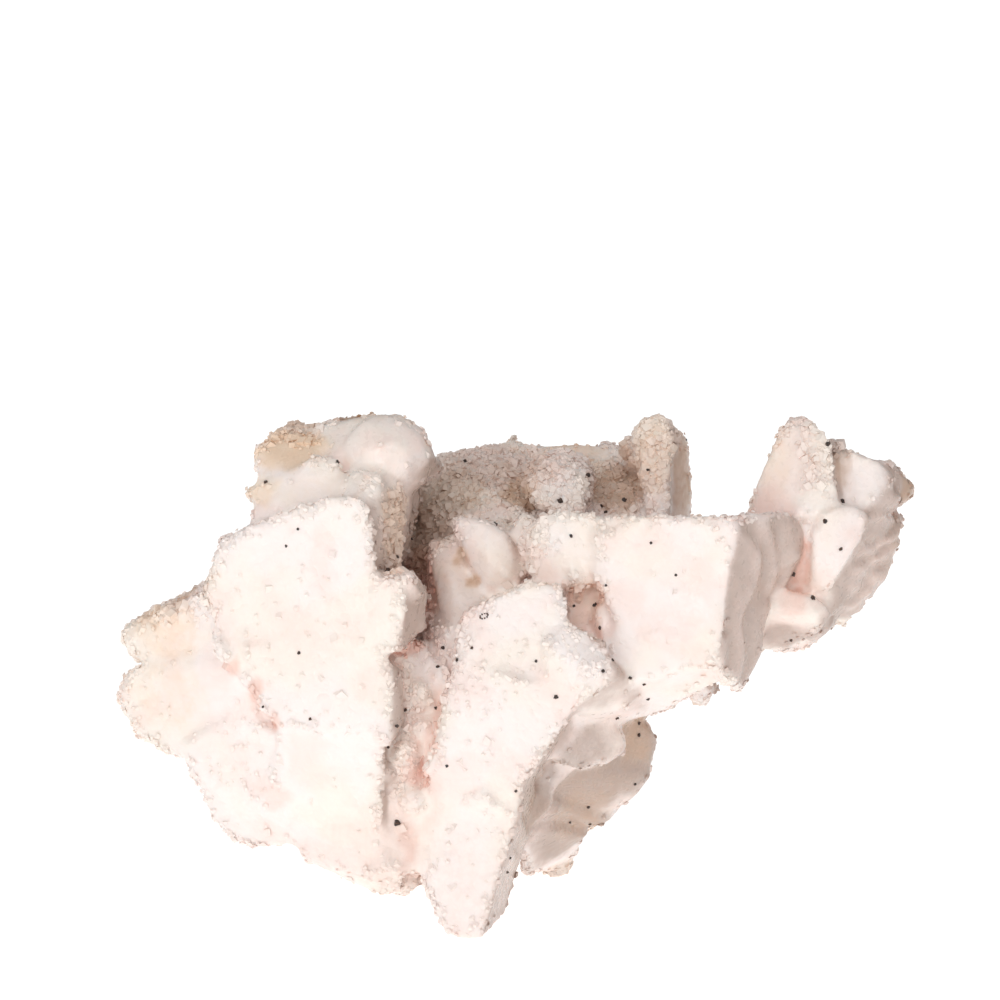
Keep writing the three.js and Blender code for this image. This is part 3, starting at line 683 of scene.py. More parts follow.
# Where the crystal is smooth and glassy, where the druse on it is coarse, and where tops and sides get no
# dust or painted shade.
SMOOTH: tuple[Patch, ...] = patches(
    (44.6, -8, 57.6, 3.8, 4, 3.6, 1), (40.4, -12.4, 49.6, 4.6, 4, 6.6, 1),
    (46.4, -3.6, 46, 5, 7, 9, 0.95), (35.4, -12.6, 40.8, 5, 4, 3.6, 1), (36, -10, 45.6, 2.6, 5, 4.6, 1),
    (-29.4, -15, 59.2, 5, 3.6, 2.4, 0.95), (-16.6, -16.4, 61.4, 6.6, 4.6, 4.6, 0.95),
    (31.4, -15, 48.4, 4.4, 6, 7.4, 0.85), (26.6, -20, 43, 4, 5, 12, 0.7), (-3.2, -14, 47, 5, 4, 6, 1),
    (-8.2, -13, 43.4, 4, 5, 6, 1), (9.6, -15, 24.6, 6.4, 8, 5.4, 0.9), (13, -6, 20, 6.6, 8, 8, 0.9),
    (6, -8, 12, 6, 11, 8, 0.9), (33, -9, 56, 4, 4, 7, 0.95), (1, -16.5, 15, 5, 7, 17, 1),
    (-21.5, -12, 63, 3.5, 4, 3, 0.7), (18, -18.4, 33.4, 8, 5, 3, 0.6), (-9.6, -17, 26, 1.5, 4, 10, 0.7),
    (10.4, -15.6, 39, 3.6, 5, 5, 0.8), (-42, -17, 29, 8, 6, 8, 0.5), (-26.6, -17.6, 56.6, 7, 4, 2, 0.6),
)
COARSE: tuple[Patch, ...] = patches(
    (-29.4, -10.6, 62.4, 7, 4, 2, 1), (-4, 4, 56, 12, 10, 6, 0.9), (6, -1.4, 55.4, 6, 6, 6, 1),
    (13.4, 5, 54, 6, 7, 6, 0.9), (-14.6, -14, 22, 2.6, 7, 14, 1), (-12, 0, 48, 7, 10, 9, 0.9),
    (18, 0.6, 62, 4, 5, 4, 0.9), (38.4, -7, 59, 2.4, 4, 6, 0.9), (-15.4, -19, 49.5, 3, 6, 9, 0.9),
    (-42, -12, 41.6, 8, 5, 3, 0.8), (2.6, -14.5, 49.6, 1.8, 5, 4.4, 0.8),
)
BARE: tuple[Patch, ...] = patches(
    (45, -8, 57.4, 4, 5, 3.6, 0.45), (-13.6, -18, 34, 4, 5, 5, 0.9), (-15, -18.5, 53, 4, 6, 8, 0.55),
    (-16, -15, 62.4, 8, 7, 4, 0.9), (40.4, -12.4, 49.6, 4.6, 4, 6.6, 0.8),
    (36.4, -12.6, 41.6, 4.6, 4, 2.6, 0.8), (12.6, -13, 25, 2.4, 5, 3, 0.7),
    (5.6, -2.4, 55.4, 4.4, 4, 4.4, 0.9), (-24, -17, 57, 9, 4, 3, 0.8), (8.6, -24.8, 36.4, 4, 3, 4, 0.9),
)


@dataclass(frozen=True)
class Fold:
    """Parallel folds or shingles on part of the skin, in millimetres.

    The crest says where in its period a fold is highest, and the waver by what share of it folds stray.
    """

    zone: Patch
    across: Vector
    period: float
    height: float
    crest: float
    waver: float = 0.9

    def profile(self, points: np.ndarray) -> np.ndarray:
        """How high each point lies on its fold.

        Args:
            points: Places in millimetres, one in each row.

        Returns:
            Numbers from 0 to 1.
        """
        bends = np.array([noise.noise(Vector(point) / (2 * self.period)) for point in points])
        along = points @ np.array(self.across.normalized()) / self.period
        turn = (along + bends * self.waver) % 1.0
        rise = Ramp(0, self.crest).of(turn)
        fall = Ramp(1, self.crest).of(turn)
        slope = np.where(turn < self.crest, rise, fall)
        return self.zone.share(points) * slope


FOLDS: tuple[Fold, ...] = (
    # The draped flank of the plate on the right.
    Fold(Patch((29, -16, 43), (9, 12, 16)), Vector((0, 1, 0.2)), period=4.0, height=0.5, crest=0.6),
    # The shingles of the fan.
    Fold(Patch((46.4, -3, 46), (7, 9, 11)), Vector((-0.36, 0, 0.93)), period=2.9, height=0.5, crest=0.8),
    # The leaves down the narrow side of the blade.
    Fold(Patch((1.5, -18, 14), (4, 9, 16)), Vector((0, 0.5, 0.87)), period=5.2, height=0.35, crest=0.8),
    # The slabs under the blade.
    Fold(Patch((9, -5, 15), (9, 14, 14)), Vector((0.4, 0.1, 0.9)), period=5.4, height=0.7, crest=0.8),
)


@dataclass
class Ground:
    """The points of the specimen's skin, with what is known about each of them.

    The edge is how far a point stands out from those around it, and the lie is the way that the skin
    round about it faces. The last three say how glassy a point is, how coarse its druse is, and how
    high it lies on a fold.
    """

    points: np.ndarray
    normals: np.ndarray
    edge: np.ndarray
    lie: np.ndarray
    marks: dict[Mark, np.ndarray] = field(default_factory=dict)
    smooth: np.ndarray | None = None
    coarse: np.ndarray | None = None
    folds: np.ndarray | None = None

    @staticmethod
    def strongest(patches: tuple[Patch, ...], places: np.ndarray) -> np.ndarray:
        """The strongest of some patches at each place, from 0 to 1."""
        return np.max([patch.share(places) for patch in patches], axis=0)

    def lift(self, mark: Mark, least: np.ndarray) -> None:
        """Lifts a mark to at least the given strength."""
        self.marks[mark] = np.maximum(self.marks[mark], least)


@dataclass(frozen=True)
class WeatherAndShade:
    """What follows from the lie of a point: dust and painted shade on tops, painted shade on sides, grey
    low down, and tan, rose and brown behind, the brown in hollows partly painted shade.

    The ramps say where each of them lies: top and side from how far a face looks up or to the right,
    back and foot from a place's depth and height in millimetres, and cave from how sheltered it is.
    Broad clouds break the colours up. The other numbers are the strengths of the marks.
    """

    top: Ramp = Ramp(0.45, 0.9)
    side: Ramp = Ramp(0.25, 0.8)
    back: Ramp = Ramp(-2.0, 8.0)
    foot: Ramp = Ramp(22.0, 8.0)
    cave: Ramp = Ramp(0.45, 0.8)
    cloud: float = 14.0
    fractal: tuple[float, float, int] = (1.0, 2.0, 3)
    # Grey on tops is part dust and part painted shade; grey and the greyish brown on sides are painted
    # shade, taken off the crests of folds.
    top_dust_and_shade: float = 0.26
    top_tan: Ramp = Ramp(0, 0.4, 0, 0.4)
    side_smooth: float = 0.73
    side_shade_grey: float = 0.95
    side_painted_shade: float = 0.75
    shade_off_fold_crests: float = 0.5
    foot_grey: float = 0.32
    back_tan: Ramp = Ramp(0.1, 0.6, 0, 0.55)
    back_rose: Ramp = Ramp(0, -0.6, 0, 0.35)
    back_brown_and_shade: float = 0.55

    def settle(self, ground: Ground, places: np.ndarray) -> None:
        """Lifts the marks.

        Args:
            ground: The ground, whose marks of stain and painted shade are changed.
            places: Its points, in millimetres, shifted so that the marks have ragged edges.
        """
        bare = 1 - Ground.strongest(BARE, places)
        top = self.top.of(ground.lie[:, 2]) * bare
        back = self.back.of(ground.points[:, 1])
        side = self.side.of(ground.lie[:, 0]) * (1 - back) * bare
        foot = self.foot.of(ground.points[:, 2]) * (1 - back)
        cave = self.cave.of(ground.marks[Mark.SHELTER])
        clouds = np.array([noise.fractal(Vector(p) / self.cloud, *self.fractal) for p in places])
        ground.smooth = np.maximum(ground.smooth, side * self.side_smooth)
        # Painted shade: tops go greyer, partly with dust, and faces that look to the right go grey and
        # greyish brown, less on the crests of folds. Low points go greyer too.
        ground.lift(Mark.GREY_AND_SHADE, top * self.top_dust_and_shade)
        ground.lift(Mark.GREY_AND_SHADE, side * self.side_shade_grey)
        ground.lift(Mark.GREY_AND_SHADE, foot * self.foot_grey)
        ground.lift(Mark.PAINTED_SHADE, side * (self.side_painted_shade - self.shade_off_fold_crests * ground.folds))
        ground.lift(Mark.TAN, top * self.top_tan.of(clouds))
        ground.lift(Mark.TAN, back * self.back_tan.of(clouds))
        ground.lift(Mark.ROSE, back * self.back_rose.of(clouds))
        # Hollows behind go brown: part stain, part painted shade.
        ground.lift(Mark.BROWN_AND_SHADE, back * cave * self.back_brown_and_shade)


# ---------------------------------------------------------------- the crystal body


@dataclass(frozen=True)
class Growth:
    """A small block that grows between the larger crystals.

    Its front corners are given across, up and back on the board, in millimetres.
    """

    face: tuple[tuple[float, float, float], ...]
    depth: float

    def add(self, shell: bmesh.types.BMesh, board: Board) -> None:
        """Adds the block to a mesh.

        Args:
            shell: The mesh.
            board: The board that its corners are set out on.
        """
        corners = [
            board.place(across, up, back + more)
            for across, up, back in self.face
            for more in (0, self.depth)
        ]
        hull = bmesh.ops.convex_hull(shell, input=[shell.verts.new(corner) for corner in corners])
        unused = [item for item in hull["geom_interior"] if isinstance(item, bmesh.types.BMVert)]
        bmesh.ops.delete(shell, geom=unused, context="VERTS")


def block(depth: float, *face: tuple[float, float, float]) -> Growth:
    """A growth from how deep it is and its front corners."""
    return Growth(face, depth)


def cobble(across: float, up: float, back: float, width: float, height: float) -> Growth:
    """A rounded lump for a crevice: a wide ring of corners, and a smaller ring in front of it.

    Args:
        across: The lump's middle on the board.
        up: The same, upwards.
        back: How far behind the board its wide ring lies.
        width: How wide it is.
        height: How high it is.

    Returns:
        The lump, to be grown.
    """
    corners = 7
    twist = 0.3
    rings = ((0.5, 0.0), (0.3, -1.0))
    depth = 3
    turns = [2 * math.pi * (i + twist) / corners for i in range(corners)]
    face = tuple(
        (across + width * share * math.cos(turn), up + height * share * math.sin(turn), back + step)
        for share, step in rings
        for turn in turns
    )
    return Growth(face, depth)


GROWTHS: tuple[Growth, ...] = (
    # The saddle between the tan knob and the white dome.
    block(
        10, (-25.2, 64.9, 16.6), (-23.2, 65.4, 17), (-20.6, 66, 15.6), (-17.6, 66.3, 14),
        (-17.4, 63, 10.4), (-19, 60.9, 9.8), (-22.2, 61.4, 11.2), (-24.4, 62.6, 13.6),
    ),
    # The flat front of the dome.
    block(
        7, (-21.6, 61, 10.4), (-21.4, 63.4, 11.6), (-19.4, 65.6, 12.6), (-16.6, 66.3, 12.8),
        (-14.2, 65.6, 12.8), (-12, 63.8, 13), (-10.6, 61.6, 14), (-10, 60, 15.4),
        (-12.6, 58.9, 12.8), (-15.4, 59.4, 9.4), (-19, 59.6, 8.8), (-17, 62.4, 8.2),
    ),
    # The floor of the notch under the tooth.
    block(6, (-16.8, 38, 6.8), (-11.4, 37.6, 9.4), (-11.6, 33.6, 9.6), (-15.8, 33.4, 6.6)),
    # What fills the top of the groove between the plate and the blade.
    block(
        5, (-10.7, 40.5, 13.6), (-7.7, 41.2, 10.4), (-7, 39.2, 9.6), (-8.2, 37, 9.4),
        (-9, 34.2, 9.8), (-10.2, 32, 10.6), (-11.5, 33.2, 11.8), (-11.6, 37.6, 12.8),
    ),
    # The floor of the groove itself.
    block(
        6, (-10.6, 33, 10), (-15.6, 33, 6.6), (-17, 23.2, 5.4), (-17.4, 15.8, 4.8),
        (-15.6, 9.5, 5.2), (-12.2, 9.5, 6), (-10.8, 18.2, 6.8), (-10.2, 25.8, 8),
    ),
    # The lumps down the groove, from the top.
    cobble(-11.1, 34.9, 10.2, 2.8, 2.6),
    cobble(-12.4, 31, 7.7, 3.4, 4.8),
    cobble(-12, 27, 6.8, 3.1, 3.2),
    cobble(-13.9, 23.4, 5.9, 3.8, 4.6),
    cobble(-16.2, 21.5, 5, 1.9, 2.8),
    cobble(-13.3, 17.9, 5.4, 4, 4),
    cobble(-9.7, 32.6, 8.6, 2.8, 5.4),
    cobble(-9.8, 28.2, 7.8, 2.8, 4.4),
    cobble(-10.9, 24.6, 7, 2.6, 4),
    # The oval plate at the side of the hollow, and the three-cornered one before it.
    block(
        4, (-7.7, 52.9, 14.6), (-6.5, 53.5, 14.8), (-4.6, 53, 13.8), (-2.7, 52.4, 13.4),
        (-1.1, 51.2, 12.9), (-0.2, 49.4, 12.5), (0.3, 47.6, 12.4), (0.7, 46.2, 12.4),
        (-0.2, 45.1, 12.2), (-2.2, 44.2, 12), (-3.9, 44.4, 12), (-5, 45.9, 12.6),
        (-6.4, 48.4, 13.4), (-7, 50.4, 14), (-3.6, 48.8, 11.2),
    ),
    block(
        4, (-10.7, 50.3, 18.2), (-8.1, 50.8, 17.6), (-7.9, 48.6, 17), (-6.9, 46.8, 16),
        (-5.4, 45, 14.6), (-4.2, 43.6, 13.2), (-6.4, 42.4, 10.4), (-8.1, 41, 10.2),
        (-10.1, 42.4, 12.8), (-10.5, 45.2, 15.6), (-10.8, 48, 17.4), (-8.4, 45.4, 12.6),
    ),
    # The crevice between the white rhomb, the thumb and the fan.
    block(
        5, (36.2, 45.6, 16.4), (39.9, 45.8, 16.6), (40.6, 43, 18), (38.9, 41.2, 17),
        (36.4, 42.4, 15.8),
    ),
)


@dataclass
class CrystalBody:
    """The grown-together crystals as one closed skin, with the swells, steps and lumps of their faces.

    Each form of the relief is given as how far apart its hills lie and how high they are. The gains say
    how much of the lumps and knurls shows everywhere, where the druse is coarse, and along edges.
    """

    board: Board
    name: str = "crystal_body"
    weld: float = 0.0001
    voxel: float = 0.59
    soften: tuple[float, int] = (0.5, 2)
    swell: tuple[float, float] = (9.0, 0.35)
    terrace: tuple[float, float] = (4.6, 0.12)
    lump: tuple[float, float] = (2.3, 0.18)
    knurl: tuple[float, float] = (1.15, 0.1)
    crumble: tuple[float, float] = (1.7, 0.4)
    jostle: tuple[float, float] = (5.0, 0.35)
    lump_gains: tuple[float, float, float] = (0.8, 2.2, 1.2)
    knurl_gains: tuple[float, float] = (0.8, 1.6)
    mean_lump: float = 0.6
    terrace_tilt: Quaternion = Quaternion((0.3, 1.0, 0.4), math.radians(38))
    knurl_shift: Vector = Vector((40, 0, 0))
    polish: float = 0.92
    edgy: Ramp = Ramp(0.12, 0.6)
    edge_rounds: int = 14
    lie_rounds: int = 5
    wander: tuple[float, float] = (3.0, 1.3)
    spare: float = 0.25
    shelter_reach: float = 11.0
    shelter_rays: int = 22
    shelter_start: float = 0.3
    shelter_slant: float = 0.15
    seed: int = 4

    def build(self) -> tuple[bpy.types.Object, Ground]:
        """Makes the piece.

        Returns:
            The piece, and the ground that the druse grows on.
        """
        # Without a seed, some of the noise would differ from one run to the next.
        noise.seed_set(self.seed)
        mesh = self.skin()
        ground = self.survey(mesh)
        self.relief(mesh, ground)
        self.mark(mesh, ground)
        mesh.polygons.foreach_set("use_smooth", [True] * len(mesh.polygons))
        mesh.materials.append(CarbonateFinish().material("carbonate_body"))
        piece = placed(self.name, mesh)
        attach(piece, BODY)
        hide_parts(NODE)
        log.info("%s: %d faces", self.name, len(mesh.polygons))
        return piece, ground

    def skin(self) -> bpy.types.Mesh:
        """A fine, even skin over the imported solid.

        Returns:
            A closed mesh of small squares.
        """
        shell = bmesh.new()
        shell.from_mesh(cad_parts[NODE].data)
        bmesh.ops.remove_doubles(shell, verts=shell.verts, dist=self.weld * MM)
        for growth in GROWTHS:
            growth.add(shell, self.board)
        draft = baked(shell, "draft")
        holder = placed("draft", draft)
        remesh = holder.modifiers.new("skin", "REMESH")
        remesh.mode = "VOXEL"
        remesh.voxel_size = self.voxel * MM
        soften = holder.modifiers.new("soften", "SMOOTH")
        soften.factor, soften.iterations = self.soften
        graph = bpy.context.evaluated_depsgraph_get()
        mesh = bpy.data.meshes.new_from_object(holder.evaluated_get(graph))
        bpy.data.objects.remove(holder)
        bpy.data.meshes.remove(draft)
        mesh.name = self.name
        return mesh

    def survey(self, mesh: bpy.types.Mesh) -> Ground:
        """Finds where the skin is an edge, where a hollow, and what stain and painted shade it bears.

        Args:
            mesh: The skin.

        Returns:
            The ground, in millimetres.
        """
        points = read(mesh.vertices, "co") / MM
        normals = read(mesh.vertices, "normal")
        even = self.evened(mesh, points, self.edge_rounds)
        edge = np.einsum("ij,ij->i", points - even, normals)
        ground = Ground(points, normals, edge, self.evened(mesh, normals, self.lie_rounds))
        size, reach = self.wander
        places = points + np.array([noise.noise_vector(Vector(p) / size) for p in points]) * reach
        for mark, patches in STAINS_AND_SHADE.items():
            ground.marks[mark] = Ground.strongest(patches, places)
        ground.smooth = Ground.strongest(SMOOTH, places)
        ground.coarse = Ground.strongest(COARSE, places) * (1 - ground.smooth)
        profiles = [fold.profile(points) for fold in FOLDS]
        ground.folds = np.sum([fold.height * part for fold, part in zip(FOLDS, profiles)], axis=0)
        ground.marks[Mark.SHELTER] = self.shelter(mesh, points, normals)
        WeatherAndShade().settle(ground, places)
        return ground

    @staticmethod
    def evened(mesh: bpy.types.Mesh, values: np.ndarray, rounds: int) -> np.ndarray:
        """Averages a vector of every point with its neighbours'.

        Args:
            mesh: The mesh.
            values: One row for each of its points.
            rounds: How often.

        Returns:
            The averages.
        """
        ties = np.empty(len(mesh.edges) * 2, dtype=np.int32)
        mesh.edges.foreach_get("vertices", ties)
        first, second = ties.reshape(-1, 2).T
        count = np.bincount(ties, minlength=len(values))
        for _ in range(rounds):
            forth = [np.bincount(first, column[second], len(values)) for column in values.T]
            back = [np.bincount(second, column[first], len(values)) for column in values.T]
            values = np.stack(np.add(forth, back), axis=1) / count[:, None]
        return values

    def shelter(self, mesh: bpy.types.Mesh, points: np.ndarray, normals: np.ndarray) -> np.ndarray:
        """How much of the sky over each point is hidden by the rest of the specimen.

        Args:
            mesh: The skin.
            points: Its points, in millimetres.
            normals: Its normals.

        Returns:
            Numbers from 0, out in the open, to 1, deep inside.
        """
        faces = [tuple(face.vertices) for face in mesh.polygons]
        tree = BVHTree.FromPolygons([Vector(point) for point in points], faces)
        rays = self.all_ways(self.shelter_rays)
        facing = normals @ np.array(rays).T
        facing[facing <= self.shelter_slant] = 0
        hidden = np.zeros(len(points))
        for i, (point, normal) in enumerate(zip(points, normals)):
            start = Vector(point + normal * self.shelter_start)
            for k in np.flatnonzero(facing[i]):
                if tree.ray_cast(start, rays[k], self.shelter_reach)[0] is not None:
                    hidden[i] += facing[i, k]
        return hidden / np.maximum(facing.sum(axis=1), self.shelter_slant)

    @staticmethod
    def all_ways(count: int) -> list[Vector]:
        """Directions spread evenly all round, on a spiral from the top down.

        Args:
            count: How many.

        Returns:
            Unit vectors.
        """
        golden = math.pi * (3 - math.sqrt(5))
        ways = []
        for i in range(count):
            height = 1 - 2 * (i + 0.5) / count
            level = math.sqrt(1 - height * height)
            ways.append(Vector((level * math.cos(golden * i), level * math.sin(golden * i), height)))
        return ways

    def relief(self, mesh: bpy.types.Mesh, ground: Ground) -> None:
        """Moves the skin's points out and in, and keeps them within the specimen's size.

        Args:
            mesh: The skin.
            ground: The ground, whose points move with the skin.
        """
        rough = 1 - self.polish * ground.smooth
        edge = self.edgy.of(ground.edge)
        bare, coarse, sharp = self.lump_gains
        lump_gain = rough * (bare + coarse * ground.coarse + sharp * edge)
        bare, coarse = self.knurl_gains
        knurl_gain = rough * (bare + coarse * ground.coarse)
        height = np.empty(len(ground.points))
        for i, point in enumerate(ground.points):
            at = Vector(point)
            jostled = noise.noise_vector(at / self.jostle[0]) * self.jostle[1]
            steps = noise.cell(self.terrace_tilt @ at / self.terrace[0] + jostled)
            lumps = self.rounded(at, self.lump[0]) - self.mean_lump
            knurls = self.rounded(at + self.knurl_shift, self.knurl[0]) - self.mean_lump
            height[i] = (
                self.swell[1] * noise.noise(at / self.swell[0])
                + self.terrace[1] * steps * rough[i] ** 2
                + self.lump[1] * lumps * lump_gain[i]
                + self.knurl[1] * knurls * knurl_gain[i]
                + self.crumble[1] * noise.noise(at / self.crumble[0]) * edge[i] * rough[i]
                + ground.folds[i]
            )
        least, most = roomy_box(self.spare)
        moved = np.clip(ground.points + ground.normals * height[:, None], least, most)
        foot = ground.points[:, 2] < self.voxel
        lowest = np.minimum(moved[foot, 2], ground.points[foot, 2])
        moved[foot, 2] = np.maximum(lowest, least[2])
        ground.points = moved
        mesh.vertices.foreach_set("co", (ground.points * MM).astype(np.float32).ravel())
        mesh.update()
        ground.normals = read(mesh.vertices, "normal")

    @staticmethod
    def rounded(at: Vector, size: float) -> float:
        """The height of lumps of a size that press together: about 0 in a crease, 1 on top."""
        near = noise.voronoi(at / size)[0][0]
        return math.sqrt(max(0.0, 1 - near * near))

    @staticmethod
    def mark(mesh: bpy.types.Mesh, ground: Ground) -> None:
        """Keeps the marks in the mesh.

        Args:
            mesh: The skin.
            ground: The ground that the marks are read from.
        """
        ground.marks[Mark.TONE] = np.zeros(len(ground.points))
        ground.marks[Mark.GLASS] = ground.smooth
        for mark, values in ground.marks.items():
            keep(mesh, mark, values)


def read(items: bpy.types.bpy_prop_collection, name: str) -> np.ndarray:
    """Reads a vector of every item.

    Args:
        items: Such as a mesh's vertices.
        name: The vector's name.

    Returns:
        One row for each item.
    """
    values = np.empty(len(items) * 3, dtype=np.float32)
    items.foreach_get(name, values)
    return values.reshape(-1, 3).astype(float)


def keep(mesh: bpy.types.Mesh, mark: Mark, values: np.ndarray) -> None:
    """Keeps the strength of one mark at each of a mesh's points."""
    layer = mesh.attributes.new(mark.value, "FLOAT", "POINT")
    layer.data.foreach_set("value", np.clip(values, 0, 1).astype(np.float32))


# ---------------------------------------------------------------- the druse


@dataclass(frozen=True)
class Crystal:
    """A small rhombohedron: its middle and edge in millimetres, its upright, and its turn about that."""

    middle: Vector
    upright: Vector
    turn: float
    edge: float

    def matrix(self, shape: Matrix) -> Matrix:
        """What makes a cube this crystal.

        Args:
            shape: What makes a cube an upright rhombohedron.

        Returns:
            The matrix, in the part's frame.
        """
        lean = Vector((0, 0, 1)).rotation_difference(self.upright)
        spin = Quaternion((0, 0, 1), self.turn)
        place = Matrix.Translation(self.middle * MM)
        return place @ (lean @ spin).to_matrix().to_4x4() @ Matrix.Scale(self.edge * MM, 4) @ shape


@dataclass
class Druse:
    """Many small rhombohedra, each seated on the skin with a corner outwards, joined into one piece.

    Edges run from the first to the second number, and small ones are commoner the higher the rarity.
    A sink is a share of the edge, the lean is the most that an upright strays from the unit normal, and
    the slip is how far a crystal may shift. The crystals of a zone are turned alike, but for the stray.
    A corner lies as many edges from the middle as the reach says. The scatter is the least weight.
    """

    name: str
    count: int
    edge: tuple[float, float]
    rarity: float
    sink: tuple[float, float]
    lean: float
    seed: int
    squash: float
    slip: float = 0.3
    zone: float = 6.0
    stray: float = 1.0
    clutch: int = 150
    spare: float = 0.45
    reach: float = 0.82
    scatter: float = 0.002

    def weight(self, ground: Ground) -> np.ndarray:
        """How likely each point is to bear a crystal, apart from the scatter and from glassy crystal."""
        raise NotImplementedError

    def build(self, ground: Ground) -> bpy.types.Object:
        """Makes the piece.

        Args:
            ground: The ground that the crystals grow on.

        Returns:
            The piece.
        """
        draw = np.random.default_rng(self.seed)
        weight = (self.scatter + self.weight(ground)) * (1 - ground.smooth) ** 2
        seats = draw.choice(len(weight), self.count, replace=False, p=weight / weight.sum())
        edges = self.edge[0] + (self.edge[1] - self.edge[0]) * draw.random(self.count) ** self.rarity
        sinks = self.sink[0] + (self.sink[1] - self.sink[0]) * draw.random(self.count)
        leans = (draw.random((self.count, 3)) * 2 - 1) * self.lean
        slips = (draw.random((self.count, 3)) * 2 - 1) * self.slip
        turns = self.turns(draw, ground.points[seats])
        tones = draw.random(self.count)
        uprights = ground.normals[seats]
        middles = ground.points[seats] + slips - uprights * (edges * sinks)[:, None]
        kept = self.inside(middles, edges)
        crystals = [
            Crystal(Vector(middles[i]), Vector(uprights[i] + leans[i]), turns[i], edges[i]) for i in kept
        ]
        mesh = self.joined(crystals)
        for mark, values in ground.marks.items():
            each = tones if mark is Mark.TONE else values[seats]
            keep(mesh, mark, np.repeat(each[kept], len(mesh.vertices) // len(kept)))
        piece = placed(self.name, mesh)
        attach(piece, BODY)
        log.info("%s: %d crystals", self.name, len(kept))
        return piece

    def turns(self, draw: np.random.Generator, places: np.ndarray) -> np.ndarray:
        """How far each crystal is turned about its own upright: neighbours grow nearly in step."""
        zones = np.array([noise.cell(Vector(place) / self.zone) for place in places])
        return zones * 2 * math.pi + (draw.random(len(places)) - 0.5) * self.stray

    def inside(self, middles: np.ndarray, edges: np.ndarray) -> np.ndarray:
        """Which crystals stay within the specimen's size.

        Args:
            middles: Their middles, in millimetres.
            edges: Their edges, in millimetres.

        Returns:
            Their numbers.
        """
        least, most = roomy_box(self.spare)
        reach = edges[:, None] * self.reach
        fits = (middles - reach >= least) & (middles + reach <= most)
        return np.flatnonzero(fits.all(axis=1))

    def joined(self, crystals: list[Crystal]) -> bpy.types.Mesh:
        """Makes one mesh of the crystals, a clutch at a time, because a full bmesh grows slowly.

        Args:
            crystals: The crystals.

        Returns:
            The mesh.
        """
        upright = Vector((1, 1, 1)).rotation_difference(Vector((0, 0, 1))).to_matrix().to_4x4()
        shape = Matrix.Diagonal((1, 1, self.squash, 1)) @ upright
        whole = bmesh.new()
        for start in range(0, len(crystals), self.clutch):
            part = bmesh.new()
            for crystal in crystals[start : start + self.clutch]:
                bmesh.ops.create_cube(part, size=1.0, matrix=crystal.matrix(shape))
            cup = baked(part, "cup")
            whole.from_mesh(cup)
            bpy.data.meshes.remove(cup)
        return baked(whole, self.name)


@dataclass
class FaceDruse(Druse):
    """A low sugary coat in patches on the broad faces."""

    name: str = "face_druse"
    count: int = 6500
    edge: tuple[float, float] = (0.28, 0.54)
    rarity: float = 1.6
    sink: tuple[float, float] = (0.26, 0.34)
    lean: float = 0.1
    seed: int = 21
    squash: float = 0.42
    patch: float = 8.0
    patchy: Ramp = Ramp(-0.1, 0.4)

    def weight(self, ground: Ground) -> np.ndarray:
        """In patches."""
        return self.patchy.of(np.array([noise.noise(Vector(p) / self.patch) for p in ground.points]))


@dataclass
class EdgeDruse(Druse):
    """Bolder crystals along edges and corners."""

    name: str = "edge_druse"
    count: int = 15000
    edge: tuple[float, float] = (0.34, 0.76)
    rarity: float = 1.5
    sink: tuple[float, float] = (0.22, 0.38)
    lean: float = 0.3
    seed: int = 23
    squash: float = 0.55
    edgy: Ramp = Ramp(0.1, 0.5)

    def weight(self, ground: Ground) -> np.ndarray:
        """Along edges."""
        return self.edgy.of(ground.edge)


@dataclass
class CoarseDruse(Druse):
    """Rough, sparkling crystals in the hollows, on the ridge and on the knob."""

    name: str = "coarse_druse"
    count: int = 15000
    edge: tuple[float, float] = (0.38, 1.15)
    rarity: float = 2.6
    sink: tuple[float, float] = (0.16, 0.4)
    lean: float = 0.75
    seed: int = 24
    squash: float = 0.7
    stray: float = 2.5
    hollow: Ramp = Ramp(0.35, 0.7, 0, 0.3)

    def weight(self, ground: Ground) -> np.ndarray:
        """Where the druse is coarse, and in hollows."""
        return ground.coarse + self.hollow.of(ground.marks[Mark.SHELTER])


# ---------------------------------------------------------------- dark grains


@dataclass(frozen=True)
class Grain:
    """A dark grain: where it shows on the board, and how wide it is, in millimetres."""

    across: float
    up: float
    width: float = 0.55


